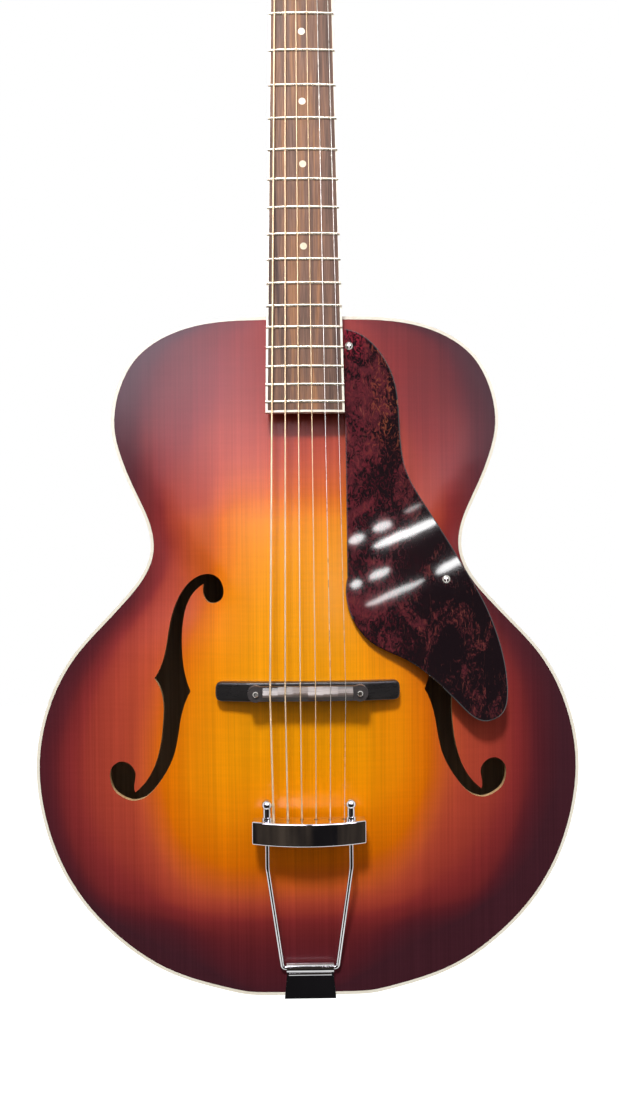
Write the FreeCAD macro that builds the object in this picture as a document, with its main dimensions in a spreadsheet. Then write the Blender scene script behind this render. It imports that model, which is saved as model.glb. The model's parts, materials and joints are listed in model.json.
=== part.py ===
import FreeCAD, Part
import math
import os
import Sketcher
from FreeCAD import Placement, Rotation, Vector

# Driving sizes: alias, value, note. Millimetres, and degrees where the note says so.
size_rows = (
    # Neck and fingerboard
    ("scale_length", 635.0, "open string length that the frets divide"),
    ("neck_angle", 3.1, "tilt of the neck against the body, in degrees"),
    ("joint_from_nut", 355.2, "nut to the top edge of the body, along the neck"),
    ("neck_overstand", 10.8, "fingerboard glue plane in front of the rim at the joint"),
    ("nut_width", 44.4, "fingerboard width at the nut"),
    ("board_end_width", 57.7, "fingerboard width at its end"),
    ("board_length", 431.0, "fingerboard length"),
    ("board_thickness", 6.2, "fingerboard thickness on the centre line"),
    ("board_radius", 305.0, "radius of the fingerboard's cambered face"),
    ("board_binding", 1.6, "width of the fingerboard binding"),
    ("fret_width", 2.2, "width of a fret crown"),
    ("fret_crown", 1.0, "height of a fret crown"),
    ("tang_width", 0.6, "thickness of a fret tang"),
    ("tang_depth", 1.6, "depth of a fret tang"),
    ("dot_diameter", 5.2, "position dot"),
    ("dot_depth", 1.5, "depth of a position dot"),
    ("nut_length", 5.0, "thickness of the nut along the strings"),
    ("nut_rise", 2.2, "nut above the fingerboard"),
    ("neck_depth_nut", 20.0, "depth of the neck at the nut, without the fingerboard"),
    ("neck_depth_heel", 23.0, "depth of the neck where the heel starts"),
    ("heel_reach", 72.0, "length over which the heel sweeps down"),
    ("heel_depth", 120.0, "depth that the heel sweep aims at, before the cap plane trims it"),
    ("heel_cap_thickness", 3.0, "heel cap"),
    ("tongue_thickness", 8.0, "neck extension under the fingerboard end"),
    ("tongue_inset", 2.0, "neck extension inside the fingerboard's edges"),
    ("tongue_clearance", 2.0, "air between the heel block and the soundboard's edge"),
    ("tenon_width", 24.0, "neck tenon across"),
    ("tenon_length", 16.0, "neck tenon into the block"),
    ("tenon_height", 52.0, "neck tenon, front to back"),
    ("tenon_start", 14.0, "rim front to the tenon"),
    ("rod_diameter", 5.0, "truss rod"),
    ("rod_channel_depth", 9.0, "truss rod channel below the fingerboard"),
    ("rod_nut_diameter", 8.0, "truss rod adjusting nut"),
    ("rod_nut_length", 12.0, "truss rod adjusting nut, along the rod"),
    # Headstock
    ("head_angle", 14.0, "headstock tilt against the neck, in degrees"),
    ("head_length", 178.0, "headstock length from the nut"),
    ("head_width", 78.0, "headstock width at its widest"),
    ("head_thickness", 14.0, "headstock wood"),
    ("veneer_thickness", 2.0, "headstock face veneer"),
    ("volute_length", 26.0, "neck shaft carried on under the headstock"),
    ("cover_length", 40.0, "truss rod cover"),
    ("cover_width", 22.0, "truss rod cover at its wide end"),
    ("cover_thickness", 1.6, "truss rod cover"),
    ("cover_start", 4.0, "nut to the truss rod cover"),
    # Body
    ("body_length", 508.5, "body, top edge to tail"),
    ("upper_bout", 290.4, "width of the upper bout"),
    ("waist", 232.6, "width of the waist"),
    ("lower_bout", 406.4, "width of the lower bout"),
    ("rim_depth", 86.0, "depth of the sides, with both plates' edges"),
    ("rim_thickness", 2.8, "thickness of a side"),
    ("plate_thickness", 4.5, "thickness of the soundboard and the back"),
    ("arch_top", 17.0, "rise of the soundboard's arch"),
    ("arch_back", 15.0, "rise of the back's arch"),
    ("binding_width", 2.2, "body binding, seen from the front"),
    ("binding_height", 6.0, "body binding, seen from the side"),
    ("lining_width", 7.0, "lining, across"),
    ("lining_height", 14.0, "lining, down the side"),
    ("neck_block_width", 66.0, "neck block across"),
    ("neck_block_length", 52.0, "neck block along the body"),
    ("tail_block_width", 64.0, "tail block across"),
    ("tail_block_length", 22.0, "tail block along the body"),
    ("bar_spread", 74.0, "distance between the tone bars"),
    ("bar_width", 8.0, "tone bar across"),
    ("bar_height", 13.0, "tone bar height"),
    ("bar_length", 300.0, "tone bar length"),
    ("bar_start", 110.0, "top edge of the body to the tone bars"),
    # Sound holes
    ("hole_span", 86.5, "width of an f-hole over all"),
    ("hole_length", 168.6, "length of an f-hole over all"),
    ("hole_offset", 61.4, "centre line to the f-hole's inner extreme"),
    ("hole_start", 192.0, "top edge of the body to the f-hole"),
    # Bridge
    ("saddle_from_nut", 634.2, "nut to the middle of the saddle's crest, along the neck"),
    ("string_rise", 12.2, "string centres above the glue plane at the saddle"),
    ("bridge_spacing", 53.6, "outer strings apart at the saddle"),
    ("bridge_base_width", 134.4, "bridge base across the body"),
    ("bridge_base_length", 14.0, "bridge base along the body"),
    ("bridge_base_height", 8.0, "bridge base above the arch at its middle"),
    ("bridge_foot_height", 12.0, "bridge base ends above the rim plane"),
    ("base_corner", 4.0, "rounding of the bridge base's ends"),
    ("post_spread", 74.4, "bridge posts apart"),
    ("bridge_post_diameter", 4.0, "bridge post"),
    ("post_seat", 5.5, "bridge post inside the base"),
    ("post_tip", 2.2, "bridge post tip above the saddle's ends"),
    ("wheel_diameter", 12.5, "thumbwheel"),
    ("wheel_thickness", 3.0, "thumbwheel"),
    ("wheel_travel", 2.4, "free height under a thumbwheel"),
    ("knurl_diameter", 1.2, "notch of the thumbwheel's edge"),
    ("saddle_length", 10.4, "saddle bar along the body"),
    ("saddle_lobe", 11.6, "diameter of the saddle's rounded ends"),
    ("saddle_end_drop", 4.0, "saddle's ends below its crest"),
    ("crest_drop", 3.0, "height of the saddle's bevelled crest"),
    ("crest_flat", 1.4, "flat on top of the saddle's crest"),
    ("saddle_setback", 1.2, "largest step of the staggered crest"),
    # Tailpiece
    ("tail_spacing", 50.75, "outer strings apart at the tailpiece"),
    ("tail_bar_width", 82.0, "tailpiece bar across"),
    ("tail_bar_length", 16.6, "tailpiece bar along the body"),
    ("tail_bar_depth", 17.3, "tailpiece bar at its middle, front to back"),
    ("tail_bar_end", 9.5, "tailpiece bar at its ends, front to back"),
    ("tail_bar_back", 6.0, "strings in front of the tailpiece bar's back edge"),
    ("tail_bar_wall", 1.8, "tailpiece bar's sheet"),
    ("tail_bar_round", 1.2, "rounding of the tailpiece bar's edges"),
    ("tail_hole_diameter", 3.0, "string hole of the tailpiece bar"),
    ("tail_string_height", 26.5, "strings in front of the rim at the tailpiece"),
    ("wire_diameter", 3.2, "tailpiece frame wire"),
    ("wire_spread", 60.5, "frame wires apart at the bar"),
    ("wire_straight", 18.0, "straight run of the wire below the bar"),
    ("wire_bend", 14.0, "bend of the wire below the bar"),
    ("wire_corner", 2.6, "bend of the wire into the hinge"),
    ("nut_ball_height", 10.9, "ball nut's middle above the bar"),
    ("nut_ball", 7.8, "ball nut diameter"),
    ("nut_collar", 6.0, "ball nut collar diameter"),
    ("nut_collar_height", 2.2, "ball nut collar height"),
    ("hinge_width", 38.3, "hinge plate across, at the tail edge"),
    ("hinge_neck", 33.4, "hinge plate across, at its barrel"),
    ("hinge_sheet", 1.6, "hinge plate's sheet"),
    ("hinge_barrel", 6.8, "hinge barrel diameter"),
    ("barrel_width", 35.0, "hinge barrel across"),
    ("hinge_bead", 3.0, "diameter of the bead under the hinge barrel"),
    ("bead_drop", 5.4, "hinge pin to the bead"),
    ("bead_width", 32.0, "bead across"),
    ("hinge_from_tail", 22.6, "hinge pin above the tail edge"),
    ("hinge_lift", 0.7, "hinge plate in front of the rim plane"),
    ("hinge_drop", 58.0, "hinge plate down the tail end"),
    ("tail_screw_spread", 24.0, "upper tail screws apart"),
    ("tail_screw_row", 15.0, "rim front to the upper tail screws"),
    ("pin_shank_diameter", 7.6, "end pin shank"),
    ("pin_shank_length", 20.0, "end pin shank in the block"),
    ("pin_flange_diameter", 15.0, "end pin flange"),
    ("pin_flange_height", 2.5, "end pin flange"),
    ("pin_neck_diameter", 9.0, "end pin neck"),
    ("pin_neck_height", 5.0, "end pin neck"),
    ("pin_head_diameter", 14.0, "end pin head"),
    ("pin_head_height", 5.0, "end pin head's straight band"),
    ("pin_crown", 2.0, "end pin head's rounded end"),
    # Pickguard
    ("guard_width", 116.5, "pickguard across"),
    ("guard_length", 289.3, "pickguard along the body"),
    ("guard_offset", 29.3, "centre line to the pickguard"),
    ("guard_start", 12.3, "top edge of the body to the pickguard"),
    ("guard_thickness", 2.5, "pickguard sheet"),
    ("guard_bevel", 0.8, "bevel of the pickguard's front edge"),
    ("guard_lift", 9.5, "pickguard's back in front of the rim at its top"),
    ("guard_angle", 1.9, "pickguard tilt, in degrees"),
    ("spacer_diameter", 7.0, "pickguard spacer"),
    ("guard_screw_bite", 3.5, "pickguard screw into the soundboard"),
    # Strings
    ("nut_spacing", 36.0, "outer strings apart at the nut"),
    ("nut_action", 0.5, "strings above the fret tops at the nut"),
    ("string_bend", 5.0, "bend of a string at the nut and the saddle"),
    ("ball_diameter", 3.8, "string ball end"),
    ("ball_length", 4.4, "string ball end"),
    ("turn_gap", 0.55, "air between the turns of a string on its post"),
    ("gauge_first", 0.30, "first string"),
    ("gauge_second", 0.41, "second string"),
    ("gauge_third", 0.61, "third string"),
    ("gauge_fourth", 0.81, "fourth string"),
    ("gauge_fifth", 1.07, "fifth string"),
    ("gauge_sixth", 1.35, "sixth string"),
    # Tuners
    ("tuner_start", 46.0, "nut to the first pair of posts, along the headstock"),
    ("tuner_pitch", 42.0, "posts apart along the headstock"),
    ("tuner_inset", 14.0, "headstock's edge to a post"),
    ("tuner_post_diameter", 6.0, "tuner post"),
    ("tuner_post_height", 15.0, "tuner post above the veneer"),
    ("tuner_hole_drop", 4.5, "string hole below the post's top"),
    ("tuner_hole_diameter", 1.9, "string hole"),
    ("gear_seat_diameter", 4.4, "post end that carries the gear"),
    ("gear_module", 0.8, "module of the gear and worm"),
    ("gear_thickness", 3.0, "gear"),
    ("gear_lift", 2.6, "gear above the base plate"),
    ("worm_pitch_radius", 2.8, "worm pitch radius"),
    ("worm_shaft_diameter", 3.6, "worm shaft"),
    ("mesh_gap", 0.12, "extra distance between gear and worm"),
    ("tab_offset", 7.4, "post axis to a bearing tab's inner face"),
    ("tab_thickness", 1.5, "bearing tab"),
    ("tab_width", 7.2, "bearing tab, along the headstock"),
    ("plate_sheet", 1.2, "tuner base plate"),
    ("plate_width", 22.0, "tuner base plate across"),
    ("plate_up", 13.0, "tuner base plate above the post"),
    ("plate_down", 19.0, "tuner base plate below the post"),
    ("plate_screw_inset", 3.2, "plate end to its screw"),
    ("gear_screw_diameter", 6.4, "gear screw head"),
    ("gear_screw_height", 1.8, "gear screw head"),
    ("button_gap", 2.6, "headstock's edge to the button"),
    ("button_length", 19.0, "tuner button, along its shaft"),
    ("button_width", 15.0, "tuner button across"),
    ("button_thickness", 7.5, "tuner button"),
    ("button_round", 2.6, "rounding of the button's rim"),
    ("button_bore", 11.0, "shaft inside the button"),
    ("bushing_diameter", 8.6, "tuner bushing in the headstock"),
    ("bushing_length", 7.0, "tuner bushing in the headstock"),
    ("bushing_flange", 11.4, "tuner bushing flange"),
    ("bushing_flange_height", 1.3, "tuner bushing flange"),
    # Fasteners and fits
    ("small_screw_head", 4.4, "small screw head"),
    ("small_screw_dome", 1.3, "small screw head height"),
    ("small_screw_shank", 2.0, "small screw shank"),
    ("small_screw_length", 9.0, "small screw below its head"),
    ("tail_screw_head", 6.4, "tail screw head"),
    ("tail_screw_dome", 1.8, "tail screw head height"),
    ("tail_screw_shank", 3.2, "tail screw shank"),
    ("tail_screw_length", 16.0, "tail screw below its head"),
    ("guard_screw_head", 5.9, "pickguard screw head"),
    ("guard_screw_dome", 1.5, "pickguard screw head height"),
    ("guard_screw_shank", 2.4, "pickguard screw shank"),
    ("screw_slot", 0.8, "width of a screw slot"),
    ("glue_line", 0.08, "gap of a glued or seated joint"),
    ("running_fit", 0.05, "radial play of a shaft that turns"),
    ("run_clearance", 0.35, "air between a moving piece and its neighbour"),
    ("overrun", 3.0, "how far a cutting shape passes what it cuts"),
)

# Counts and shares
fret_count = 19
dot_frets = (3, 5, 7, 9, 12)
gear_teeth = 14
knurl_count = 30
string_count = 6
string_turns = 2
turn_samples = 60
octave_frets = 12
outline_samples = 40
ray_samples = 240
arch_columns = 31
arch_rows = 39
arch_centre_share = 0.52
arch_margin_share = 0.03
arch_oval_share = 0.3
arch_ellipse_shares = (0.92, 0.53)
upper_outline_shares = (
    (0.278, 0.0004), (0.486, 0.0043), (0.719, 0.0236), (0.885, 0.059), (0.983, 0.118), (1.0, 0.153),
    (0.971, 0.2006),
)
waist_outline_shares = ((1.133, 0.2478), (1.039, 0.295), (1.0, 0.3363), (1.029, 0.3658), (1.131, 0.4012))
lower_outline_shares = (
    (0.756, 0.4484), (0.862, 0.4956), (0.958, 0.5683), (1.0, 0.6627), (0.979, 0.7335), (0.919, 0.8043),
    (0.805, 0.8751), (0.683, 0.9223), (0.489, 0.9695), (0.293, 0.9931),
)
# One f-hole as four curves that meet at its two cusps and two nicks, across and down its own box.
hole_curve_shares = (
    ((0.173, 0.044), (0.180, 0.077), (0.126, 0.126), (0.025, 0.114), (0.003, 0.059), (0.059, 0.012),
     (0.133, 0.0), (0.276, 0.026), (0.406, 0.113), (0.474, 0.226), (0.514, 0.350), (0.606, 0.458)),
    ((0.606, 0.458), (0.535, 0.540), (0.532, 0.649), (0.577, 0.795), (0.684, 0.912), (0.784, 0.963)),
    ((0.784, 0.963), (0.788, 0.919), (0.779, 0.878), (0.834, 0.837), (0.909, 0.827), (0.991, 0.859),
     (1.0, 0.907), (0.964, 0.956), (0.891, 0.986), (0.815, 1.0), (0.743, 0.996), (0.657, 0.970),
     (0.571, 0.919), (0.440, 0.795), (0.383, 0.649), (0.291, 0.514)),
    ((0.291, 0.514), (0.331, 0.452), (0.364, 0.321), (0.354, 0.204), (0.291, 0.102), (0.173, 0.044)),
)
# The pickguard's outer edge and its inner edge below the fingerboard, across and down its own box.
guard_edge_shares = (
    (0.0, 0.0), (0.123, 0.018), (0.232, 0.063), (0.316, 0.135), (0.341, 0.216), (0.350, 0.290),
    (0.380, 0.360), (0.470, 0.433), (0.569, 0.496), (0.740, 0.611), (0.865, 0.702), (0.962, 0.810),
    (1.0, 0.910), (0.953, 0.984), (0.850, 0.998), (0.701, 0.957), (0.553, 0.898), (0.367, 0.842),
    (0.157, 0.800), (0.026, 0.731), (0.004, 0.634),
)
guard_screw_shares = ((0.029, 0.044), (0.625, 0.640))
# The headstock's half outline: flare, side and crown, across and up.
head_flare_shares = ((0.62, 0.045), (0.80, 0.125), (0.87, 0.21))
head_shoulder_share = 0.93
head_crown_shares = ((0.93, 0.972), (0.62, 0.988), (0.30, 0.996))
saddle_step_shares = (0.0, 0.55, 1.0, -0.25, 0.35, 0.9)
tooth_root_share = 0.42
tooth_tip_share = 0.22
thread_root_share = 0.44
thread_tip_share = 0.18
heel_sweep_shares = ((0.0, 0.0), (0.40, 0.06), (0.62, 0.25), (0.76, 0.62), (0.88, 0.92), (1.04, 1.0))
cover_waist_share = 0.45
cover_screw_shares = ((-0.70, 0.12), (0.70, 0.12), (0.0, 0.88))
section_share = 0.85
section_points = 12
hexagon_sides = 6
full_circle = 360
half_circle = 180
quarter_circle = 90
parallel_share = 0.9
worm_turns = 5
dedendum_share = 1.25
thread_sink_share = 0.8
tail_reach_share = 0.85
tail_bar_share = 0.3968

axis_x = Vector(1, 0, 0)
axis_y = Vector(0, 1, 0)
axis_z = Vector(0, 0, 1)

doc = FreeCAD.newDocument("archtop_guitar")
sheet = doc.addObject("Spreadsheet::Sheet", "Sizes")
for row_number, (row_alias, row_value, row_note) in enumerate(size_rows, start=1):
    sheet.set(f"A{row_number}", row_note)
    sheet.set(f"B{row_number}", str(row_value))
    sheet.setAlias(f"B{row_number}", row_alias)
doc.recompute()


class Size:
    """A size with its value and the sheet expression that gives it."""

    def __init__(self, value, text):
        self.value = float(value)
        self.text = text

    def __float__(self):
        return self.value

    def __neg__(self):
        return Size(-self.value, f"-({self.text})")

    def __add__(self, other):
        return Size(self.value + float(other), f"({self.text} + {words(other)})")

    def __radd__(self, other):
        return Size(float(other) + self.value, f"({words(other)} + {self.text})")

    def __sub__(self, other):
        return Size(self.value - float(other), f"({self.text} - {words(other)})")

    def __rsub__(self, other):
        return Size(float(other) - self.value, f"({words(other)} - {self.text})")

    def __mul__(self, other):
        return Size(self.value * float(other), f"({self.text} * {words(other)})")

    def __rmul__(self, other):
        return Size(float(other) * self.value, f"({words(other)} * {self.text})")

    def __truediv__(self, other):
        return Size(self.value / float(other), f"({self.text} / {words(other)})")


def words(item):
    """The expression text of a size or a plain number."""
    return item.text if isinstance(item, Size) else f"{float(item):.9g}"


class SheetSizes:
    """Reads each named size from the sheet."""

    def __getattr__(self, alias):
        return Size(sheet.get(alias), f"Sizes.{alias}")


size = SheetSizes()
sub_parts = []


def keep(item, label, placement=None):
    """Names an object as a sub-part and puts it in its place."""
    item.Label = label
    if placement is not None:
        item.Placement = placement.multiply(item.Placement)
    sub_parts.append(item)
    return item


def feature(label, shape, placement=None):
    """A sub-part whose shape is worked out here from the sheet's sizes."""
    item = doc.addObject("Part::Feature", label)
    item.Shape = shape
    return keep(item, label, placement)


def bind(item, **sizes):
    """Ties an object's properties to the sheet."""
    for name, value in sizes.items():
        if isinstance(value, Size):
            item.setExpression(name, value.text)
        else:
            setattr(item, name, value)
    return item


def new_body(label):
    return doc.addObject("PartDesign::Body", label)


def new_sketch(body, role, offset=None):
    """A sketch on one of the body's own origin planes, moved along the plane's normal if asked."""
    plane = next(item for item in body.Origin.OriginFeatures if item.Role == role)
    sketch = body.newObject("Sketcher::SketchObject", "Sketch")
    sketch.AttachmentSupport = [(plane, "")]
    sketch.MapMode = "FlatFace"
    if offset is not None:
        sketch.setExpression("AttachmentOffset.Base.z", offset.text)
    return sketch


def polygon(sketch, corners):
    """Closes a polygon whose corners follow the sheet."""
    count = len(corners)
    first = sketch.GeometryCount
    for index, corner in enumerate(corners):
        after = corners[(index + 1) % count]
        start = Vector(float(corner[0]), float(corner[1]), 0)
        sketch.addGeometry(Part.LineSegment(start, Vector(float(after[0]), float(after[1]), 0)))
    for index in range(count):
        link = Sketcher.Constraint("Coincident", first + index, 2, first + (index + 1) % count, 1)
        sketch.addConstraint(link)
    for index, corner in enumerate(corners):
        for kind, distance in zip(("DistanceX", "DistanceY"), corner):
            rule = Sketcher.Constraint(kind, -1, 1, first + index, 1, float(distance))
            number = sketch.addConstraint(rule)
            if isinstance(distance, Size):
                sketch.setExpression(f"Constraints[{number}]", distance.text)


def circle(sketch, across, up, radius):
    """A circle whose centre and radius follow the sheet."""
    centre = Vector(float(across), float(up), 0)
    index = sketch.addGeometry(Part.Circle(centre, axis_z, float(radius)))
    for kind, distance in (("DistanceX", across), ("DistanceY", up)):
        number = sketch.addConstraint(Sketcher.Constraint(kind, -1, 1, index, 3, float(distance)))
        if isinstance(distance, Size):
            sketch.setExpression(f"Constraints[{number}]", distance.text)
    number = sketch.addConstraint(Sketcher.Constraint("Radius", index, float(radius)))
    sketch.setExpression(f"Constraints[{number}]", radius.text)


def rectangle(left, right, low, high):
    return ((left, low), (right, low), (right, high), (left, high))


def pad(body, sketch, length, both_ways=False, backwards=False):
    item = body.newObject("PartDesign::Pad", "Pad")
    item.Profile = sketch
    item.Midplane = both_ways
    item.Reversed = backwards
    return bind(item, Length=length)


def pocket(body, sketch, backwards=False):
    """A cut right through, along the sketch's normal or against it."""
    item = body.newObject("PartDesign::Pocket", "Pocket")
    item.Profile = sketch
    item.Type = "ThroughAll"
    item.Reversed = backwards
    return item


def revolution(body, sketch, axis):
    item = body.newObject("PartDesign::Revolution", "Revolution")
    item.Profile = sketch
    item.ReferenceAxis = (sketch, [axis])
    item.Angle = full_circle
    return item


def box(left, right, front, back, low, high):
    """A box between named sizes, x, y and z."""
    shape = Part.makeBox(float(right) - float(left), float(back) - float(front), float(high) - float(low))
    shape.translate(Vector(float(left), float(front), float(low)))
    return shape


def cylinder(radius, start, end):
    run = end.sub(start)
    return Part.makeCylinder(float(radius), run.Length, start, run)


def placed(shape, placement):
    """A copy of a shape moved out of its own frame by a placement."""
    copy = shape.copy()
    copy.Placement = placement.multiply(copy.Placement)
    return copy


def curve_edge(points, start_way=None, end_way=None):
    """A smooth curve through points."""
    curve = Part.BSplineCurve()
    if start_way is None:
        curve.interpolate(Points=points)
    else:
        curve.interpolate(Points=points, InitialTangent=start_way, FinalTangent=end_way)
    return curve


def rounded_path(points, radii):
    """Straight runs through the points, joined at the inner ones by tangent arcs."""
    edges = []
    start = points[0]
    for index in range(1, len(points) - 1):
        corner = points[index]
        back = points[index - 1].sub(corner).normalize()
        ahead = points[index + 1].sub(corner).normalize()
        half_turn = (math.pi - back.getAngle(ahead)) / 2
        reach = radii[index - 1] * math.tan(half_turn)
        enter = corner + back * reach
        leave = corner + ahead * reach
        inward = (back + ahead).normalize()
        middle = corner + inward * (radii[index - 1] / math.cos(half_turn) - radii[index - 1])
        edges.append(Part.LineSegment(start, enter).toShape())
        edges.append(Part.Arc(enter, middle, leave).toShape())
        start = leave
    edges.append(Part.LineSegment(start, points[-1]).toShape())
    return edges


def tube(edges, radius):
    """A round bar along joined edges."""
    first = edges[0]
    start = first.valueAt(first.FirstParameter)
    way = first.tangentAt(first.FirstParameter)
    ring = Part.Wire(Part.Circle(start, way, float(radius)).toShape())
    return Part.Wire(edges).makePipeShell([ring], True, False)


# Frames
neck_frame = Placement(Vector(0, 0, 0), Rotation(axis_x, -float(size.neck_angle)))
head_frame = neck_frame.multiply(
    Placement(Vector(0, 0, float(size.nut_length)), Rotation(axis_x, -float(size.head_angle)))
)
body_corner = neck_frame.multVec(Vector(0, float(size.neck_overstand), -float(size.joint_from_nut)))
body_frame = Placement(body_corner, Rotation())
guard_frame = body_frame.multiply(
    Placement(
        Vector(0, -float(size.guard_lift), -float(size.guard_start)),
        Rotation(axis_x, -float(size.guard_angle)),
    )
)


def in_body(placement):
    """A placement seen from the body's own frame."""
    return body_frame.inverse().multiply(placement)


# Body outline and arch
def outline_points():
    """Corner points of the right half of the outline, top centre to tail centre."""
    length = float(size.body_length)
    points = [Vector(0, 0, 0)]
    for shares, width in (
        (upper_outline_shares, size.upper_bout),
        (waist_outline_shares, size.waist),
        (lower_outline_shares, size.lower_bout),
    ):
        points += [Vector(across * float(width) / 2, 0, -down * length) for across, down in shares]
    return points + [Vector(0, 0, -length)]


outline_curve = curve_edge(outline_points(), axis_x, -axis_x)


def outline_half(inset, count):
    """Points of the right half of the outline, moved inwards."""
    first = outline_curve.FirstParameter
    last = outline_curve.LastParameter
    points = []
    for index in range(count + 1):
        place = first + (last - first) * index / count
        point = outline_curve.value(place)
        way = outline_curve.tangent(place)[0]
        inwards = Vector(way.z, 0, -way.x)
        points.append(point + inwards * float(inset))
    return points


def outline_prism(inset, front, back):
    """The body's outline, moved inwards, between two depths."""
    half = outline_half(inset, outline_samples)
    mirrored = [Vector(-point.x, 0, point.z) for point in half]
    edges = [curve_edge(side, way, -way).toShape() for side, way in ((half, axis_x), (mirrored, -axis_x))]
    face = Part.Face(Part.Wire(edges))
    face.translate(Vector(0, float(front), 0))
    return face.extrude(Vector(0, float(back) - float(front), 0))


outline_rays = []
arch_centre = -arch_centre_share * float(size.body_length)
for ray_point in outline_half(size.binding_width, ray_samples):
    ray_up = ray_point.z - arch_centre
    outline_rays.append((math.atan2(ray_point.x, ray_up), math.hypot(ray_point.x, ray_up)))


def outline_reach(angle):
    """Distance from the arch's centre to the outline, at an angle from straight up."""
    for (before, near), (after, far) in zip(outline_rays, outline_rays[1:]):
        if before <= angle < after:
            return near + (far - near) * (angle - before) / (after - before)
    return outline_rays[-1][1]


def smooth_step(share):
    share = min(max(share, 0.0), 1.0)
    return share * share * (3 - 2 * share)


def arch_share(across, up):
    """Height of the arch at a place, as a share of its full rise."""
    rise = up - arch_centre
    distance = math.hypot(across, rise)
    if distance == 0:
        return 1.0
    edge_share = distance / outline_reach(math.atan2(abs(across), rise))
    wide = arch_ellipse_shares[0] * float(size.lower_bout) / 2
    tall = arch_ellipse_shares[1] * float(size.body_length)
    oval_share = math.hypot(across / wide, rise / tall)
    weight = smooth_step((edge_share - arch_oval_share) / (1 - arch_oval_share))
    mixed = edge_share * weight + oval_share * (1 - weight)
    return smooth_step((1 - mixed - arch_margin_share) / (1 - arch_margin_share))


def arch_face(level, rise):
    """The arched surface over the whole outline, from a level and a signed rise."""
    half_width = float(size.lower_bout) / 2 + float(size.overrun)
    top = float(size.overrun)
    length = float(size.body_length) + 2 * float(size.overrun)
    rows = []
    for row in range(arch_rows):
        up = top - length * row / (arch_rows - 1)
        line = []
        for column in range(arch_columns):
            across = half_width * (2 * column / (arch_columns - 1) - 1)
            line.append(Vector(across, float(level) + float(rise) * arch_share(across, up), up))
        rows.append(line)
    surface = Part.BSplineSurface()
    surface.interpolate(rows)
    return surface.toShape()


top_face = arch_face(0, -size.arch_top)
back_face = arch_face(size.rim_depth, size.arch_back)
body_reach = size.rim_depth + size.arch_top + size.arch_back


def moved(shape, distance):
    """A copy of a shape moved front to back."""
    copy = shape.copy()
    copy.translate(Vector(0, float(distance), 0))
    return copy


def front_space(gap):
    """Everything in front of the soundboard, past a gap."""
    return moved(top_face, -gap).extrude(Vector(0, -float(body_reach), 0))


def inner_space(gap):
    """Everything between the soundboard and the back, inside a gap."""
    behind = moved(top_face, size.plate_thickness + gap).extrude(Vector(0, float(body_reach), 0))
    before = moved(back_face, -(size.plate_thickness + gap)).extrude(Vector(0, -float(body_reach), 0))
    return behind.common(before)


def hole_prism(side):
    """One f-hole, cut right through the soundboard. The side is 1 or -1."""
    edges = []
    for shares in hole_curve_shares:
        points = []
        for across, down in shares:
            place = float(size.hole_offset) + across * float(size.hole_span)
            points.append(Vector(side * place, 0, -float(size.hole_start) - down * float(size.hole_length)))
        edges.append(curve_edge(points).toShape())
    face = Part.Face(Part.Wire(edges))
    face.translate(Vector(0, -float(body_reach), 0))
    return face.extrude(Vector(0, 2 * float(body_reach), 0))


def guard_screw_place(number):
    """Where a pickguard screw stands, in the pickguard's own frame."""
    across, down = guard_screw_shares[number]
    place = float(size.guard_offset) + across * float(size.guard_width)
    return Vector(place, 0, -down * float(size.guard_length))


def guard_screw_bores():
    """Pilot bores of the pickguard screws, seen from the body."""
    bores = []
    for number in range(len(guard_screw_shares)):
        place = guard_screw_place(number)
        bore = cylinder(
            size.guard_screw_shank / 2 + size.glue_line,
            place,
            place + axis_y * float(body_reach),
        )
        bores.append(placed(bore, in_body(guard_frame)))
    return bores


def make_plates():
    inset = size.binding_width + size.glue_line
    prism = outline_prism(inset, -body_reach, 2 * body_reach)
    top = prism.common(top_face.extrude(Vector(0, float(size.plate_thickness), 0)))
    top = top.cut([hole_prism(1), hole_prism(-1)])
    top = top.cut(guard_screw_bores())
    feature("soundboard", top, body_frame)
    back = prism.common(back_face.extrude(Vector(0, -float(size.plate_thickness), 0)))
    feature("back_plate", back, body_frame)


def tenon_box(gap):
    """The neck tenon, seen from the body, with a gap all round."""
    half = size.tenon_width / 2 + gap
    return box(
        -half, half,
        size.tenon_start - gap, size.tenon_start + size.tenon_height + gap,
        -(size.tenon_length + gap), size.overrun,
    )


def tail_bores():
    """Bores for the end pin and the tail screws, seen from the body."""
    low = -(size.body_length + size.overrun)
    shapes = []
    for place, radius, depth in tail_fixings():
        high = -size.body_length + depth + size.glue_line
        start = Vector(place[0], place[1], float(low))
        shapes.append(cylinder(radius + size.glue_line, start, Vector(place[0], place[1], float(high))))
    return shapes


def tail_fixings():
    """Place, shank radius and depth of the end pin and of each tail screw."""
    half = float(size.tail_screw_spread) / 2
    row = float(size.tail_screw_row)
    screw = (size.tail_screw_shank / 2, size.tail_screw_length)
    pin = ((0, float(size.rim_depth) / 2), size.pin_shank_diameter / 2, size.pin_shank_length)
    return [pin, ((half, row), *screw), ((-half, row), *screw)]


def make_rim():
    front = size.binding_height + size.glue_line
    back = size.rim_depth - front
    wall = outline_prism(0, front, back).cut(outline_prism(size.rim_thickness, front, back))
    wall = wall.cut([tenon_box(size.glue_line)] + tail_bores())
    reach = size.lower_bout
    for label, left, right in (
        ("rim_bass", -reach, -size.glue_line / 2),
        ("rim_treble", size.glue_line / 2, reach),
    ):
        half = box(left, right, 0, size.rim_depth, -size.body_length - size.overrun, size.overrun)
        feature(label, wall.common(half), body_frame)


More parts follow.
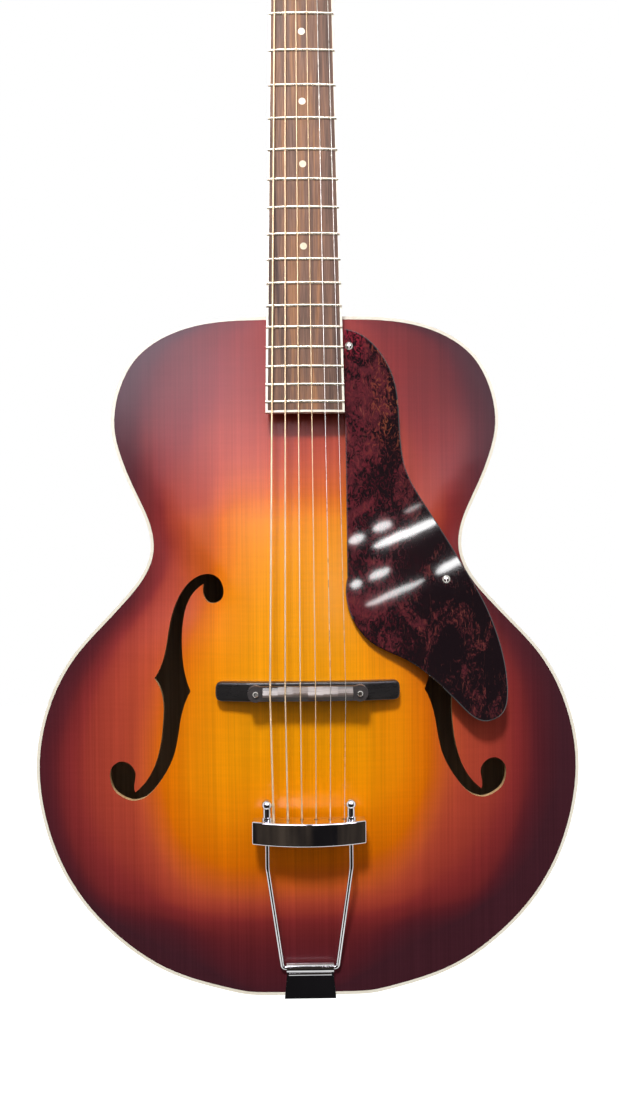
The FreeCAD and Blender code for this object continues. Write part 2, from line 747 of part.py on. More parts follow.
def make_linings():
    inset = size.rim_thickness + size.glue_line
    seat = size.plate_thickness + size.glue_line
    strips = []
    for front, back in (
        (seat, seat + size.lining_height),
        (size.rim_depth - seat - size.lining_height, size.rim_depth - seat),
    ):
        ring = outline_prism(inset, front, back).cut(outline_prism(inset + size.lining_width, front, back))
        strips.append(ring.cut(block_boxes(size.glue_line)))
    feature("linings", Part.makeCompound([solid for strip in strips for solid in strip.Solids]), body_frame)


def block_boxes(gap):
    """The neck block's and the tail block's footprints, with a gap, as deep as the body."""
    neck_half = size.neck_block_width / 2 + gap
    tail_half = size.tail_block_width / 2 + gap
    neck = box(
        -neck_half, neck_half, -body_reach, 2 * body_reach, -(size.neck_block_length + gap), size.overrun,
    )
    tail = box(
        -tail_half, tail_half, -body_reach, 2 * body_reach,
        -(size.body_length + size.overrun), -(size.body_length - size.tail_block_length - gap),
    )
    return [neck, tail]


def make_blocks():
    inside = inner_space(size.glue_line)
    room = outline_prism(size.rim_thickness + size.glue_line, -body_reach, 2 * body_reach)
    neck, tail = block_boxes(0)
    neck = neck.common(room).common(inside).cut([tenon_box(size.glue_line)] + guard_screw_bores())
    feature("neck_block", neck, body_frame)
    feature("tail_block", tail.common(room).common(inside).cut(tail_bores()), body_frame)


def make_tone_bars():
    bars = []
    skin = moved(top_face, size.plate_thickness + size.glue_line)
    layer = skin.extrude(Vector(0, float(size.bar_height), 0))
    for side in (-1, 1):
        middle = side * float(size.bar_spread) / 2
        half = float(size.bar_width) / 2
        foot = box(
            middle - half, middle + half, -body_reach, body_reach,
            -(size.bar_start + size.bar_length), -size.bar_start,
        )
        bars.append(layer.common(foot).Solids[0])
    feature("tone_bars", Part.makeCompound(bars), body_frame)


def make_body_binding():
    strips = []
    for front, back in (
        (0, size.binding_height),
        (size.rim_depth - size.binding_height, size.rim_depth),
    ):
        outer = outline_prism(0, front, back)
        strips.append(outer.cut(outline_prism(size.binding_width, front, back)))
    feature("body_binding", Part.makeCompound([strip.Solids[0] for strip in strips]), body_frame)


# Neck
def board_width(distance):
    """Fingerboard width at a distance from the nut."""
    taper = (float(size.board_end_width) - float(size.nut_width)) / float(size.board_length)
    return float(size.nut_width) + taper * float(distance)


def fret_distance(number):
    return float(size.scale_length) * (1 - 2 ** (-number / octave_frets))


def tapered_slab(side_inset, start, end, front, back):
    """A slab that follows the fingerboard's taper, inside its edges."""
    corners = []
    for distance, side in ((start, 1), (end, 1), (end, -1), (start, -1)):
        half = board_width(distance) / 2 - float(side_inset)
        corners.append(Vector(side * half, float(front), -float(distance)))
    face = Part.Face(Part.makePolygon(corners + corners[:1]))
    return face.extrude(Vector(0, float(back) - float(front), 0))


def camber(radius_change):
    """The cylinder that the fingerboard's face is part of."""
    radius = size.board_radius + radius_change
    depth = float(size.board_radius) - float(size.board_thickness)
    low = -float(size.board_length) - float(size.overrun)
    return cylinder(radius, Vector(0, depth, low), Vector(0, depth, float(size.overrun)))


def cambered_strip(distance, half_length, inner_rise, outer_rise, half_width):
    """A strip across the fingerboard that follows its camber, between two heights above its face."""
    depth = float(size.board_radius) - float(size.board_thickness)
    angle = math.degrees(math.asin(half_width / float(size.board_radius)))
    low = -float(size.board_radius) - outer_rise + depth
    high = -float(size.board_radius) - inner_rise + depth
    corners = [
        Vector(0, low, -distance - half_length), Vector(0, low, -distance + half_length),
        Vector(0, high, -distance + half_length), Vector(0, high, -distance - half_length),
    ]
    face = Part.Face(Part.makePolygon(corners + corners[:1]))
    face.rotate(Vector(0, depth, 0), axis_z, -angle)
    return face.revolve(Vector(0, depth, 0), axis_z, 2 * angle)


def fret_crown_shape(distance):
    """A fret's rounded crown, bent to the fingerboard's camber."""
    depth = float(size.board_radius) - float(size.board_thickness)
    half_width = board_width(distance) / 2 - float(size.glue_line)
    angle = math.degrees(math.asin(half_width / float(size.board_radius)))
    foot = -float(size.board_thickness) - float(size.glue_line)
    crest = Vector(0, foot - float(size.fret_crown), -distance)
    low = Vector(0, foot, -distance - float(size.fret_width) / 2)
    high = Vector(0, foot, -distance + float(size.fret_width) / 2)
    edges = [Part.Arc(low, crest, high).toShape(), Part.LineSegment(high, low).toShape()]
    face = Part.Face(Part.Wire(edges))
    face.rotate(Vector(0, depth, 0), axis_z, -angle)
    return face.revolve(Vector(0, depth, 0), axis_z, 2 * angle)


def make_fingerboard():
    binding = size.board_binding + size.glue_line
    inner_end = size.board_length - binding
    core = tapered_slab(binding, 0, inner_end, -2 * size.board_thickness, 0).common(camber(0))
    slots = []
    for number in range(1, fret_count + 1):
        distance = fret_distance(number)
        half = size.tang_width / 2 + size.glue_line
        depth = -float(size.tang_depth + size.glue_line)
        slots.append(cambered_strip(distance, float(half), depth, float(size.overrun),
                                    board_width(distance) / 2))
    dots = [dot_shape(number, size.glue_line) for number in dot_frets]
    feature("fingerboard", core.cut(slots).cut(dots), neck_frame)
    rim = tapered_slab(0, 0, size.board_length, -2 * size.board_thickness, 0)
    hollow = tapered_slab(size.board_binding, -size.overrun, size.board_length - size.board_binding,
                          -3 * size.board_thickness, size.board_thickness)
    feature("fingerboard_binding", rim.cut(hollow).common(camber(0)), neck_frame)


def dot_shape(number, gap):
    """A position dot, or its recess with a gap, midway between two frets."""
    distance = (fret_distance(number - 1) + fret_distance(number)) / 2
    face = -float(size.board_thickness) + float(size.glue_line) - float(gap) * 2
    floor = -float(size.board_thickness) + float(size.dot_depth) + float(gap)
    return cylinder(
        size.dot_diameter / 2 + gap, Vector(0, face, -distance), Vector(0, floor, -distance)
    )


def make_dots():
    dots = [dot_shape(number, 0) for number in dot_frets]
    feature("position_dots", Part.makeCompound(dots), neck_frame)


def make_frets():
    frets = []
    for number in range(1, fret_count + 1):
        distance = fret_distance(number)
        core = board_width(distance) / 2 - float(size.board_binding) - 2 * float(size.glue_line)
        tang = cambered_strip(
            distance, float(size.tang_width) / 2, -float(size.tang_depth), float(size.fret_crown) / 4, core
        )
        frets.append(fret_crown_shape(distance).fuse(tang).removeSplitter().Solids[0])
    feature("frets", Part.makeCompound(frets), neck_frame)


def neck_section(distance, depth):
    """The neck's D-shaped section at a distance from the nut."""
    half = board_width(distance) / 2
    points = []
    for index in range(section_points + 1):
        angle = math.pi * index / section_points
        points.append(
            Vector(half * math.cos(angle), depth * math.sin(angle) ** section_share, -distance)
        )
    flat = Part.LineSegment(points[-1], points[0]).toShape()
    return Part.Wire([curve_edge(points).toShape(), flat])


def in_neck(placement):
    """A placement seen from the neck's own frame."""
    return neck_frame.inverse().multiply(placement)


def neck_shaft_and_heel():
    """The neck's shaft, its heel and its extension over the body, before any cut."""
    heel_start = float(size.joint_from_nut) - float(size.heel_reach)
    start = -float(size.nut_length) - float(size.volute_length)
    ends = [
        neck_section(start, float(size.neck_depth_nut)),
        neck_section(heel_start, float(size.neck_depth_heel)),
    ]
    shaft = Part.makeLoft(ends, True, True)
    sections = []
    for along, deep in heel_sweep_shares:
        extra = deep * (float(size.heel_depth) - float(size.neck_depth_heel))
        sections.append(
            neck_section(heel_start + along * float(size.heel_reach), float(size.neck_depth_heel) + extra)
        )
    heel = Part.makeLoft(sections, True, False)
    tongue = tapered_slab(
        size.tongue_inset, heel_start, size.board_length - size.tongue_inset, 0, size.tongue_thickness
    )
    return shaft.fuse([heel, tongue])


def head_half_width(up):
    """Half the headstock's width along its straight side."""
    half = float(size.head_width) / 2
    low_share, low_place = head_flare_shares[-1]
    low_up = low_place * float(size.head_length)
    high_up = head_shoulder_share * float(size.head_length)
    rise = (float(up) - low_up) / (high_up - low_up)
    return half * (low_share + (1 - low_share) * rise)


def head_face():
    """The headstock's outline as a face."""
    half = float(size.head_width) / 2
    length = float(size.head_length)
    flare = [Vector(float(size.nut_width) / 2, 0, 0)]
    flare += [Vector(across * half, 0, up * length) for across, up in head_flare_shares]
    shoulder = Vector(half, 0, head_shoulder_share * length)
    crown = [shoulder]
    crown += [Vector(across * half, 0, up * length) for across, up in head_crown_shares]
    crown += [Vector(-point.x, 0, point.z) for point in reversed(crown)]
    left_flare = [Vector(-point.x, 0, point.z) for point in reversed(flare)]
    edges = [
        curve_edge(flare).toShape(),
        Part.LineSegment(flare[-1], shoulder).toShape(),
        curve_edge(crown).toShape(),
        Part.LineSegment(crown[-1], left_flare[0]).toShape(),
        curve_edge(left_flare).toShape(),
        Part.LineSegment(left_flare[-1], flare[0]).toShape(),
    ]
    return Part.Face(Part.Wire(edges))


def tuner_places():
    """Each tuner's side, 1 or -1, and its place on the headstock, first string to sixth."""
    places = []
    for side, order in ((1, (0, 1, 2)), (-1, (2, 1, 0))):
        for step in order:
            up = float(size.tuner_start) + step * float(size.tuner_pitch)
            places.append((side, Vector(side * (head_half_width(up) - float(size.tuner_inset)), 0, up)))
    return places


def tuner_bores():
    """Bores for the tuner bushings and posts, in the headstock's frame."""
    reach = axis_y * float(size.head_width)
    radius = size.bushing_diameter / 2 + size.glue_line
    return [cylinder(radius, place - reach, place + reach) for side, place in tuner_places()]


def small_screw_places():
    """Frames of the small screws: the truss rod cover's three, then two for each tuner plate."""
    frames = []
    front = -float(size.veneer_thickness + size.cover_thickness + size.glue_line)
    for across, up in cover_screw_shares:
        spot = Vector(
            across * float(size.cover_width) / 2, front,
            float(size.cover_start) + up * float(size.cover_length),
        )
        frames.append(Placement(spot, Rotation()))
    back = float(size.head_thickness + size.plate_sheet + size.glue_line)
    for side, place in tuner_places():
        for reach in (size.plate_up - size.plate_screw_inset, -(size.plate_down - size.plate_screw_inset)):
            spot = Vector(place.x, back, place.z + float(reach))
            frames.append(Placement(spot, Rotation(axis_z, half_circle)))
    return frames


def small_screw_bores():
    """Pilot bores of the small screws, in the headstock's frame."""
    radius = size.small_screw_shank / 2 + size.glue_line
    depth = float(size.small_screw_length + size.glue_line)
    bore = cylinder(radius, axis_y * -float(size.glue_line), axis_y * depth)
    return [placed(bore, frame) for frame in small_screw_places()]


def rod_pocket():
    """Room for the truss rod's nut in the headstock's face, in the neck's frame."""
    half = size.rod_nut_diameter / 2 + size.run_clearance
    low = size.nut_length
    high = low + size.rod_nut_length + 2 * size.overrun
    return box(-half, half, -size.rod_channel_depth, size.rod_channel_depth + size.overrun, low, high)


def rod_channel():
    """The truss rod's channel under the fingerboard, in the neck's frame."""
    half = size.rod_diameter / 2 + size.glue_line
    low = -(size.joint_from_nut - size.heel_reach / 2)
    return box(-half, half, -size.overrun, size.rod_channel_depth, low, size.nut_length + size.overrun)


def make_neck():
    raw = neck_shaft_and_heel()
    body_cut = outline_prism(-size.glue_line, -size.tongue_clearance, 2 * body_reach)
    raw = raw.cut(placed(body_cut, in_neck(body_frame)))
    reach = size.head_width
    cap_front = size.rim_depth - size.heel_cap_thickness
    cap_room = box(-reach, reach, cap_front, size.rim_depth, -reach, size.heel_reach)
    past_cap = box(-reach, reach, cap_front - size.glue_line, 2 * body_reach, -reach, size.heel_reach)
    feature("heel_cap", raw.common(placed(cap_room, in_neck(body_frame))), neck_frame)
    neck = raw.cut(placed(past_cap, in_neck(body_frame)))
    neck = neck.fuse(placed(tenon_box(0), in_neck(body_frame)).common(tenon_room()))
    to_head = in_neck(head_frame)
    head = placed(head_face().extrude(axis_y * float(size.head_thickness)), to_head)
    before_head = box(-reach, reach, -reach, 0, 0, size.head_length)
    neck = neck.cut(placed(before_head, to_head)).fuse(head)
    bores = [placed(bore, to_head) for bore in tuner_bores() + small_screw_bores()]
    neck = neck.cut(bores + [rod_channel(), rod_pocket()])
    feature("neck", neck, neck_frame)


def tenon_room():
    """The space below the heel's face that the tenon fills, in the neck's frame."""
    reach = size.head_width
    room = box(-reach, reach, 0, size.rim_depth, -reach, size.overrun)
    return placed(room, in_neck(body_frame))


def make_truss_rod():
    depth = float(size.rod_channel_depth - size.rod_diameter / 2)
    low = Vector(0, depth, -float(size.joint_from_nut - size.heel_reach / 2 - size.glue_line))
    high = Vector(0, depth, float(size.nut_length + size.overrun))
    top = high + axis_z * float(size.rod_nut_length)
    rod = cylinder(size.rod_diameter / 2, low, high)
    nut = cylinder(size.rod_nut_diameter / 2, high, top)
    socket = Part.Face(Part.Wire(Part.makePolygon(hexagon(top, size.rod_nut_diameter / 4))))
    nut = nut.cut(socket.extrude(axis_z * -float(size.rod_nut_length / 2)))
    feature("truss_rod", rod.fuse(nut), neck_frame)


def hexagon(centre, radius):
    """Corners of a level hexagon, closed."""
    corners = []
    for index in range(hexagon_sides + 1):
        angle = 2 * math.pi * index / hexagon_sides
        corners.append(centre + Vector(math.cos(angle), math.sin(angle), 0) * float(radius))
    return corners


def make_veneer():
    face = head_face()
    face.translate(Vector(0, -float(size.glue_line), 0))
    veneer = face.extrude(axis_y * -float(size.veneer_thickness))
    bores = tuner_bores() + small_screw_bores()
    pocket_shape = placed(rod_pocket(), head_frame.inverse().multiply(neck_frame))
    feature("headstock_veneer", veneer.cut(bores + [pocket_shape]), head_frame)


def make_truss_rod_cover():
    body = new_body("truss_rod_cover")
    sketch = new_sketch(body, "XZ_Plane")
    half = size.cover_width / 2
    low = size.cover_start
    waist = size.cover_start + size.cover_length * cover_waist_share
    high = size.cover_start + size.cover_length
    narrow = half * cover_waist_share
    polygon(sketch, (
        (-half, low), (half, low), (half, low + half / 2), (narrow, waist), (narrow, high - narrow / 2),
        (narrow / 2, high), (-narrow / 2, high), (-narrow, high - narrow / 2), (-narrow, waist),
        (-half, low + half / 2),
    ))
    pad(body, sketch, size.cover_thickness)
    holes = new_sketch(body, "XZ_Plane")
    for across, up in cover_screw_shares:
        circle(holes, size.cover_width / 2 * across, size.cover_start + size.cover_length * up,
               size.small_screw_shank / 2 + size.glue_line)
    pocket(body, holes, backwards=True)
    seat = Placement(Vector(0, -float(size.veneer_thickness + size.glue_line), 0), Rotation())
    keep(body, "truss_rod_cover", head_frame.multiply(seat))


def gauges():
    """String diameters, first to sixth."""
    return (
        size.gauge_first, size.gauge_second, size.gauge_third,
        size.gauge_fourth, size.gauge_fifth, size.gauge_sixth,
    )


def string_across(number, spacing):
    """Place of a string across the guitar: the first on the treble side."""
    return spacing * (0.5 - number / (string_count - 1))


def make_nut():
    body = new_body("nut")
    half = size.nut_width / 2
    top = -(size.board_thickness + size.nut_rise)
    sketch = new_sketch(body, "XY_Plane")
    polygon(sketch, rectangle(-half, half, top, -size.glue_line))
    pad(body, sketch, size.nut_length - 2 * size.glue_line)
    slots = new_sketch(body, "XY_Plane")
    floor = -(size.board_thickness + size.fret_crown + size.nut_action - size.glue_line)
    for number, gauge in enumerate(gauges()):
        across = string_across(number, size.nut_spacing)
        reach = gauge / 2 + 2 * size.glue_line
        polygon(slots, rectangle(across - reach, across + reach, top - size.overrun, floor))
    pocket(body, slots, backwards=True)
    keep(body, "nut", neck_frame.multiply(Placement(Vector(0, 0, float(size.glue_line)), Rotation())))


# Bridge
def crest_point(number):
    """The string's centre on the saddle, in the body's frame."""
    across = float(string_across(number, size.bridge_spacing))
    rise = float(size.string_rise) - across * across / (2 * float(size.board_radius))
    step = saddle_step_shares[number] * float(size.saddle_setback)
    point = neck_frame.multVec(Vector(across, -rise, -float(size.saddle_from_nut)))
    point = body_frame.inverse().multVec(point)
    return Vector(point.x, point.y, point.z - step)


def bridge_line():
    """Where the bridge stands along the body."""
    return crest_point(0).z


def saddle_seat():
    """Depth of the face where the saddle rests on its thumbwheels."""
    return base_top() - float(size.wheel_travel) - float(size.wheel_thickness)


def base_top():
    return -float(size.arch_top) - float(size.bridge_base_height)


def post_places():
    half = float(size.post_spread) / 2
    return [Vector(-half, 0, bridge_line()), Vector(half, 0, bridge_line())]


def rounded_plan(width, length, corner, low, high):
    """A rectangle with rounded corners round the bridge's middle, between two depths."""
    block = box(-width / 2, width / 2, low, high, -length / 2, length / 2)
    block.translate(Vector(0, 0, bridge_line()))
    edges = [edge for edge in block.Edges if abs(edge.tangentAt(edge.FirstParameter).y) > parallel_share]
    return block.makeFillet(float(corner), edges)


def make_bridge_base():
    plan = rounded_plan(
        size.bridge_base_width, size.bridge_base_length, size.base_corner, 2 * base_top(), 0
    )
    half = float(size.bridge_base_width) / 2
    flat = float(size.post_spread) / 2 + float(size.saddle_lobe) / 2
    top = base_top()
    foot = -float(size.bridge_foot_height) - float(size.bridge_base_height)
    corners = [
        Vector(-half, 0, 0), Vector(-half, foot, 0), Vector(-flat, top, 0), Vector(flat, top, 0),
        Vector(half, foot, 0), Vector(half, 0, 0),
    ]
    profile = Part.Face(Part.makePolygon(corners + corners[:1]))
    profile.translate(Vector(0, 0, bridge_line() - float(size.bridge_base_length)))
    shape = profile.extrude(axis_z * (2 * float(size.bridge_base_length)))
    shape = shape.common(plan).common(front_space(size.glue_line))
    seats = []
    for place in post_places():
        floor = place + axis_y * (top + float(size.post_seat) + float(size.glue_line))
        seats.append(
            cylinder(size.bridge_post_diameter / 2 + size.glue_line, place + axis_y * (2 * top), floor)
        )
    feature("bridge_base", shape.cut(seats), body_frame)


def lobe_top():
    """Front of the saddle's rounded ends."""
    return crest_point(2).y + float(size.saddle_end_drop)


def make_bridge_posts():
    posts = []
    for place in post_places():
        seat = place + axis_y * (base_top() + float(size.post_seat))
        tip = place + axis_y * (lobe_top() - float(size.post_tip))
        post = cylinder(size.bridge_post_diameter / 2, seat, tip)
        rim = [edge for edge in post.Edges if abs(edge.CenterOfMass.y - tip.y) < float(size.glue_line)]
        posts.append(post.makeChamfer(float(size.bridge_post_diameter) / 8, rim))
    feature("bridge_posts", Part.makeCompound(posts), body_frame)


def make_thumbwheel(label, place):
    body = new_body(label)
    sketch = new_sketch(body, "XZ_Plane")
    circle(sketch, 0, 0, size.wheel_diameter / 2)
    circle(sketch, 0, 0, size.bridge_post_diameter / 2 + size.running_fit)
    pad(body, sketch, size.wheel_thickness)
    notch = new_sketch(body, "XZ_Plane")
    circle(notch, size.wheel_diameter / 2, 0, size.knurl_diameter / 2)
    cut = pocket(body, notch, backwards=True)
    knurl = body.newObject("PartDesign::PolarPattern", "Knurl")
    knurl.Originals = [cut]
    knurl.Axis = (sketch, ["N_Axis"])
    knurl.Angle = full_circle
    knurl.Occurrences = knurl_count
    body.Tip = knurl
    rest = place + axis_y * (base_top() - float(size.wheel_travel))
    keep(body, label, body_frame.multiply(Placement(rest, Rotation())))


def make_saddle():
    seat = saddle_seat()
    line = bridge_line()
    half = float(size.saddle_length) / 2
    spread = float(size.post_spread) / 2
    bar = box(-spread, spread, lobe_top(), seat, line - half, line + half)
    shapes = []
    for place in post_places():
        start = place + axis_y * seat
        shapes.append(cylinder(size.saddle_lobe / 2, start, place + axis_y * lobe_top()))
    pitch = float(size.bridge_spacing) / (string_count - 1)
    for number, gauge in enumerate(gauges()):
        point = crest_point(number)
        crest = point.y + float(gauge) / 4
        shoulder = crest + float(size.crest_drop)
        flat = float(size.crest_flat) / 2
        corners = [
            Vector(0, seat, line - half), Vector(0, shoulder, line - half), Vector(0, crest, point.z - flat),
            Vector(0, crest, point.z + flat), Vector(0, shoulder, line + half), Vector(0, seat, line + half),
        ]
        face = Part.Face(Part.makePolygon(corners + corners[:1]))
        face.translate(Vector(point.x - pitch / 2, 0, 0))
        shapes.append(face.extrude(axis_x * pitch))
    saddle = bar.fuse(shapes).removeSplitter()
    bores = []
    for place in post_places():
        bores.append(cylinder(
            size.bridge_post_diameter / 2 + size.running_fit,
            place + axis_y * (2 * seat), place,
        ))
    feature("bridge_saddle", saddle.cut(bores + saddle_notches()), body_frame)


def saddle_notches():
    """Room for the strings where they cross the saddle."""
    notches = []
    for number, gauge in enumerate(gauges()):
        edges = string_route(number)[:3]
        notches.append(placed(tube(edges, gauge / 2 + size.run_clearance), body_frame.inverse()))
    return notches


# Strings
def tail_point(number):
    """The ball end's middle, in the body's frame."""
    across = float(string_across(number, size.tail_spacing))
    drop = float(size.tail_bar_wall + size.ball_diameter / 2 + 2 * size.glue_line)
    return Vector(across, -float(size.tail_string_height), tail_line() - drop)


def wrap_radius(gauge):
    """Middle of a string's turns, from the post's axis."""
    return float(size.tuner_post_diameter / 2 + size.run_clearance + gauge / 2)


def wrap_start(gauge):
    """Depth of a string's first turn, in the headstock's frame."""
    seat = size.veneer_thickness + size.bushing_flange_height + size.run_clearance + size.turn_gap
    return -float(seat + gauge / 2)


def wrap_point(number, angle):
    """A point of a string's turns, at an angle wound from where it meets the post."""
    gauge = gauges()[number]
    side, place = tuner_places()[number]
    pitch = float(gauge + size.turn_gap)
    radius = wrap_radius(gauge)
    turn = wrap_angle(number) - side * angle
    depth = wrap_start(gauge) - pitch * angle / (2 * math.pi)
    return Vector(place.x + radius * math.cos(turn), depth, place.z + radius * math.sin(turn))


def wrap_angle(number):
    """Angle at which a string meets the inner side of its post, seen from the front."""
    gauge = gauges()[number]
    side, place = tuner_places()[number]
    start = nut_point(number)
    radius = wrap_radius(gauge)
    away = Vector(start.x - place.x, 0, start.z - place.z)
    lean = math.acos(radius / away.Length)
    return math.atan2(away.z, away.x) - side * lean


def nut_point(number):
    """Where a string turns down behind the nut, in the headstock's frame."""
    gauge = gauges()[number]
    across = float(string_across(number, size.nut_spacing))
    rise = size.board_thickness + size.fret_crown + size.nut_action + gauge / 2
    point = Vector(across, -float(rise), float(size.nut_length + size.glue_line))
    return head_frame.inverse().multVec(neck_frame.multVec(point))


def string_route(number):
    """A string's middle line in straight runs and arcs, from its ball end to its post."""
    ends = [
        body_frame.multVec(tail_point(number)),
        body_frame.multVec(crest_point(number)),
        head_frame.multVec(nut_point(number)),
        head_frame.multVec(wrap_point(number, 0)),
    ]
    bend = float(size.string_bend)
    return rounded_path(ends, (bend, bend))


def wrap_edges(number):
    """A string's turns round its post, as arcs of a quarter turn."""
    edges = []
    quarter = math.pi / 2
    for step in range(4 * string_turns + 1):
        places = [wrap_point(number, quarter * (step + part / 2)) for part in range(3)]
        edges.append(Part.Arc(*[head_frame.multVec(place) for place in places]).toShape())
    return edges


def make_strings():
    for number, gauge in enumerate(gauges()):
        route = tube(string_route(number), gauge / 2)
        turns = tube(wrap_edges(number), gauge / 2)
        joint = Part.makeSphere(float(gauge) / 2, head_frame.multVec(wrap_point(number, 0)))
        middle = body_frame.multVec(tail_point(number))
        half = axis_x * (float(size.ball_length) / 2)
        ball = cylinder(size.ball_diameter / 2, middle - half, middle + half)
        whole = route.fuse([joint, turns, ball])
        feature(f"string_{number + 1}", whole)
        print(f"string_{number + 1}: gap between turns {float(size.turn_gap):.2f} mm, "
              f"measured {turn_gap(number):.2f} mm")


def turn_gap(number):
    """Least air between a string's turns, measured on points of its middle line."""
    gauge = float(gauges()[number])
    step_angle = 2 * math.pi / turn_samples
    points = [wrap_point(number, step_angle * step) for step in range(string_turns * turn_samples + 1)]
    next_turn = turn_samples * 3 // 4
    least = math.inf
    for index, point in enumerate(points):
        for other in points[index + next_turn:]:
            least = min(least, point.distanceToPoint(other))
    return least - gauge


# Tailpiece
def tail_line():
    """Height of the tailpiece bar's upper face, a share of the way from the bridge to the tail."""
    return bridge_line() - tail_bar_share * (float(size.body_length) + bridge_line())


def bar_block(inset, beyond):
    """The tailpiece bar with its bowed front, inset all round, and how far it goes past the back edge."""
    half = float(size.tail_bar_width) / 2 - inset
    back = float(size.tail_bar_back - size.tail_string_height)
    end = back - float(size.tail_bar_end) + inset
    front = back - float(size.tail_bar_depth) + inset
    low = tail_line() - float(size.tail_bar_length) + inset
    bow = Part.Arc(Vector(-half, end, low), Vector(0, front, low), Vector(half, end, low)).toShape()
    sides = Part.makePolygon([
        Vector(half, end, low), Vector(half, back + beyond, low), Vector(-half, back + beyond, low),
        Vector(-half, end, low),
    ])
    plan = Part.Face(Part.Wire([bow] + sides.Edges))
    return plan.extrude(axis_z * (float(size.tail_bar_length) - 2 * inset))


def make_tailpiece_bar():
    block = bar_block(0, 0)
    back = block.BoundBox.YMax
    edges = [edge for edge in block.Edges if back - edge.CenterOfMass.y > float(size.glue_line)]
    shell = block.makeFillet(float(size.tail_bar_round), edges)
    shell = shell.cut(bar_block(float(size.tail_bar_wall), float(size.overrun)))
    top = tail_line() + float(size.overrun)
    low = tail_line() - float(size.tail_bar_length + size.overrun)
    holes = []
    for side in (-1, 1):
        place = Vector(side * float(size.wire_spread) / 2, -float(size.tail_string_height), 0)
        holes.append(cylinder(
            size.wire_diameter / 2 + size.glue_line, place + axis_z * low, place + axis_z * top
        ))
    floor = tail_line() - float(size.tail_bar_wall + size.overrun)
    for number in range(len(gauges())):
        place = tail_point(number)
        holes.append(cylinder(
            size.tail_hole_diameter / 2, Vector(place.x, place.y, floor), Vector(place.x, place.y, top)
        ))
    feature("tailpiece_bar", shell.cut(holes), body_frame)


def hinge_axis():
    """Depth and height of the tailpiece hinge's pin, in the body's frame."""
    return -(size.hinge_lift + size.hinge_barrel / 2), -(size.body_length - size.hinge_from_tail)


def make_tailpiece_frame():
    depth, height = (float(place) for place in hinge_axis())
    front = -float(size.tail_string_height)
    top = tail_line() + float(size.nut_ball_height)
    bend = tail_line() - float(size.tail_bar_length + size.wire_straight)
    high = float(size.wire_spread) / 2
    low = float(size.barrel_width / 2 + size.wire_corner + size.run_clearance)
    half = [Vector(high, front, top), Vector(high, front, bend), Vector(low, depth, height)]
    points = half + [Vector(-point.x, point.y, point.z) for point in reversed(half)]
    radii = [float(item) for item in (size.wire_bend, size.wire_corner, size.wire_corner, size.wire_bend)]
    feature("tailpiece_frame", tube(rounded_path(points, radii), size.wire_diameter / 2), body_frame)


def make_ball_nuts():
    nuts = []
    for side in (-1, 1):
        foot = Vector(side * float(size.wire_spread) / 2, -float(size.tail_string_height), tail_line())
        top = foot + axis_z * float(size.nut_ball_height)
        nut = Part.makeSphere(float(size.nut_ball) / 2, top)
        neck = cylinder(size.nut_collar / 2, foot + axis_z * float(size.glue_line), top)
        rim = foot + axis_z * float(size.nut_collar_height)
        collar = cylinder(size.nut_ball / 2, foot + axis_z * float(size.glue_line), rim)
        bore = cylinder(size.wire_diameter / 2 + size.glue_line, foot, top + axis_z * float(size.glue_line))
        nuts.append(nut.fuse([neck, collar]).cut(bore).Solids[0])
    feature("tailpiece_ball_nuts", Part.makeCompound(nuts), body_frame)


def tail_face():
    """Outer and inner heights of the hinge plate on the tail end."""
    inner = -(size.body_length + size.glue_line)
    return inner - size.hinge_sheet, inner


def make_tailpiece_hinge():
    body = new_body("tailpiece_hinge")
    depth, height = hinge_axis()
    outer, inner = tail_face()
    front = -(size.hinge_lift + size.hinge_sheet)
    strap = new_sketch(body, "YZ_Plane")
    polygon(strap, (
        (front, height), (front, outer), (size.hinge_drop, outer), (size.hinge_drop, inner),
        (-size.hinge_lift, inner), (-size.hinge_lift, height),
    ))
    pad(body, strap, size.hinge_width, both_ways=True)
    flare = new_sketch(body, "XZ_Plane")
    top = height + size.overrun
    for side in (-1, 1):
        edge = side * (size.hinge_width / 2 + size.overrun)
        polygon(flare, (
            (side * size.hinge_neck / 2, top), (side * size.hinge_neck / 2, height),
            (side * size.hinge_width / 2, inner), (edge, inner), (edge, top),
        ))
    taper = pocket(body, flare)
    taper.Midplane = True
    roll = new_sketch(body, "YZ_Plane")
    circle(roll, depth, height, size.hinge_barrel / 2)
    pad(body, roll, size.barrel_width, both_ways=True)
    bead = new_sketch(body, "YZ_Plane")
    circle(bead, front, height - size.bead_drop, size.hinge_bead / 2)
    pad(body, bead, size.bead_width, both_ways=True)
    pin = new_sketch(body, "YZ_Plane")
    circle(pin, depth, height, size.wire_diameter / 2 + size.running_fit)
    bore = pocket(body, pin)
    bore.Midplane = True
    holes = new_sketch(body, "XY_Plane")
    for place, radius, length in tail_fixings():
        circle(holes, place[0], place[1], radius + size.glue_line)
    pocket(body, holes)
    keep(body, "tailpiece_hinge", body_frame)


def make_tail_screws():
    outer = float(tail_face()[0])
    screw = screw_shape(
        size.tail_screw_head, size.tail_screw_dome, size.tail_screw_shank, size.tail_screw_length
    )
    upwards = Rotation(axis_x, quarter_circle)
    spots = [Vector(place[0], place[1], outer) for place, radius, length in tail_fixings()[1:]]
    screws = [placed(screw, Placement(spot, upwards)) for spot in spots]
    feature("tailpiece_screws", Part.makeCompound(screws), body_frame)


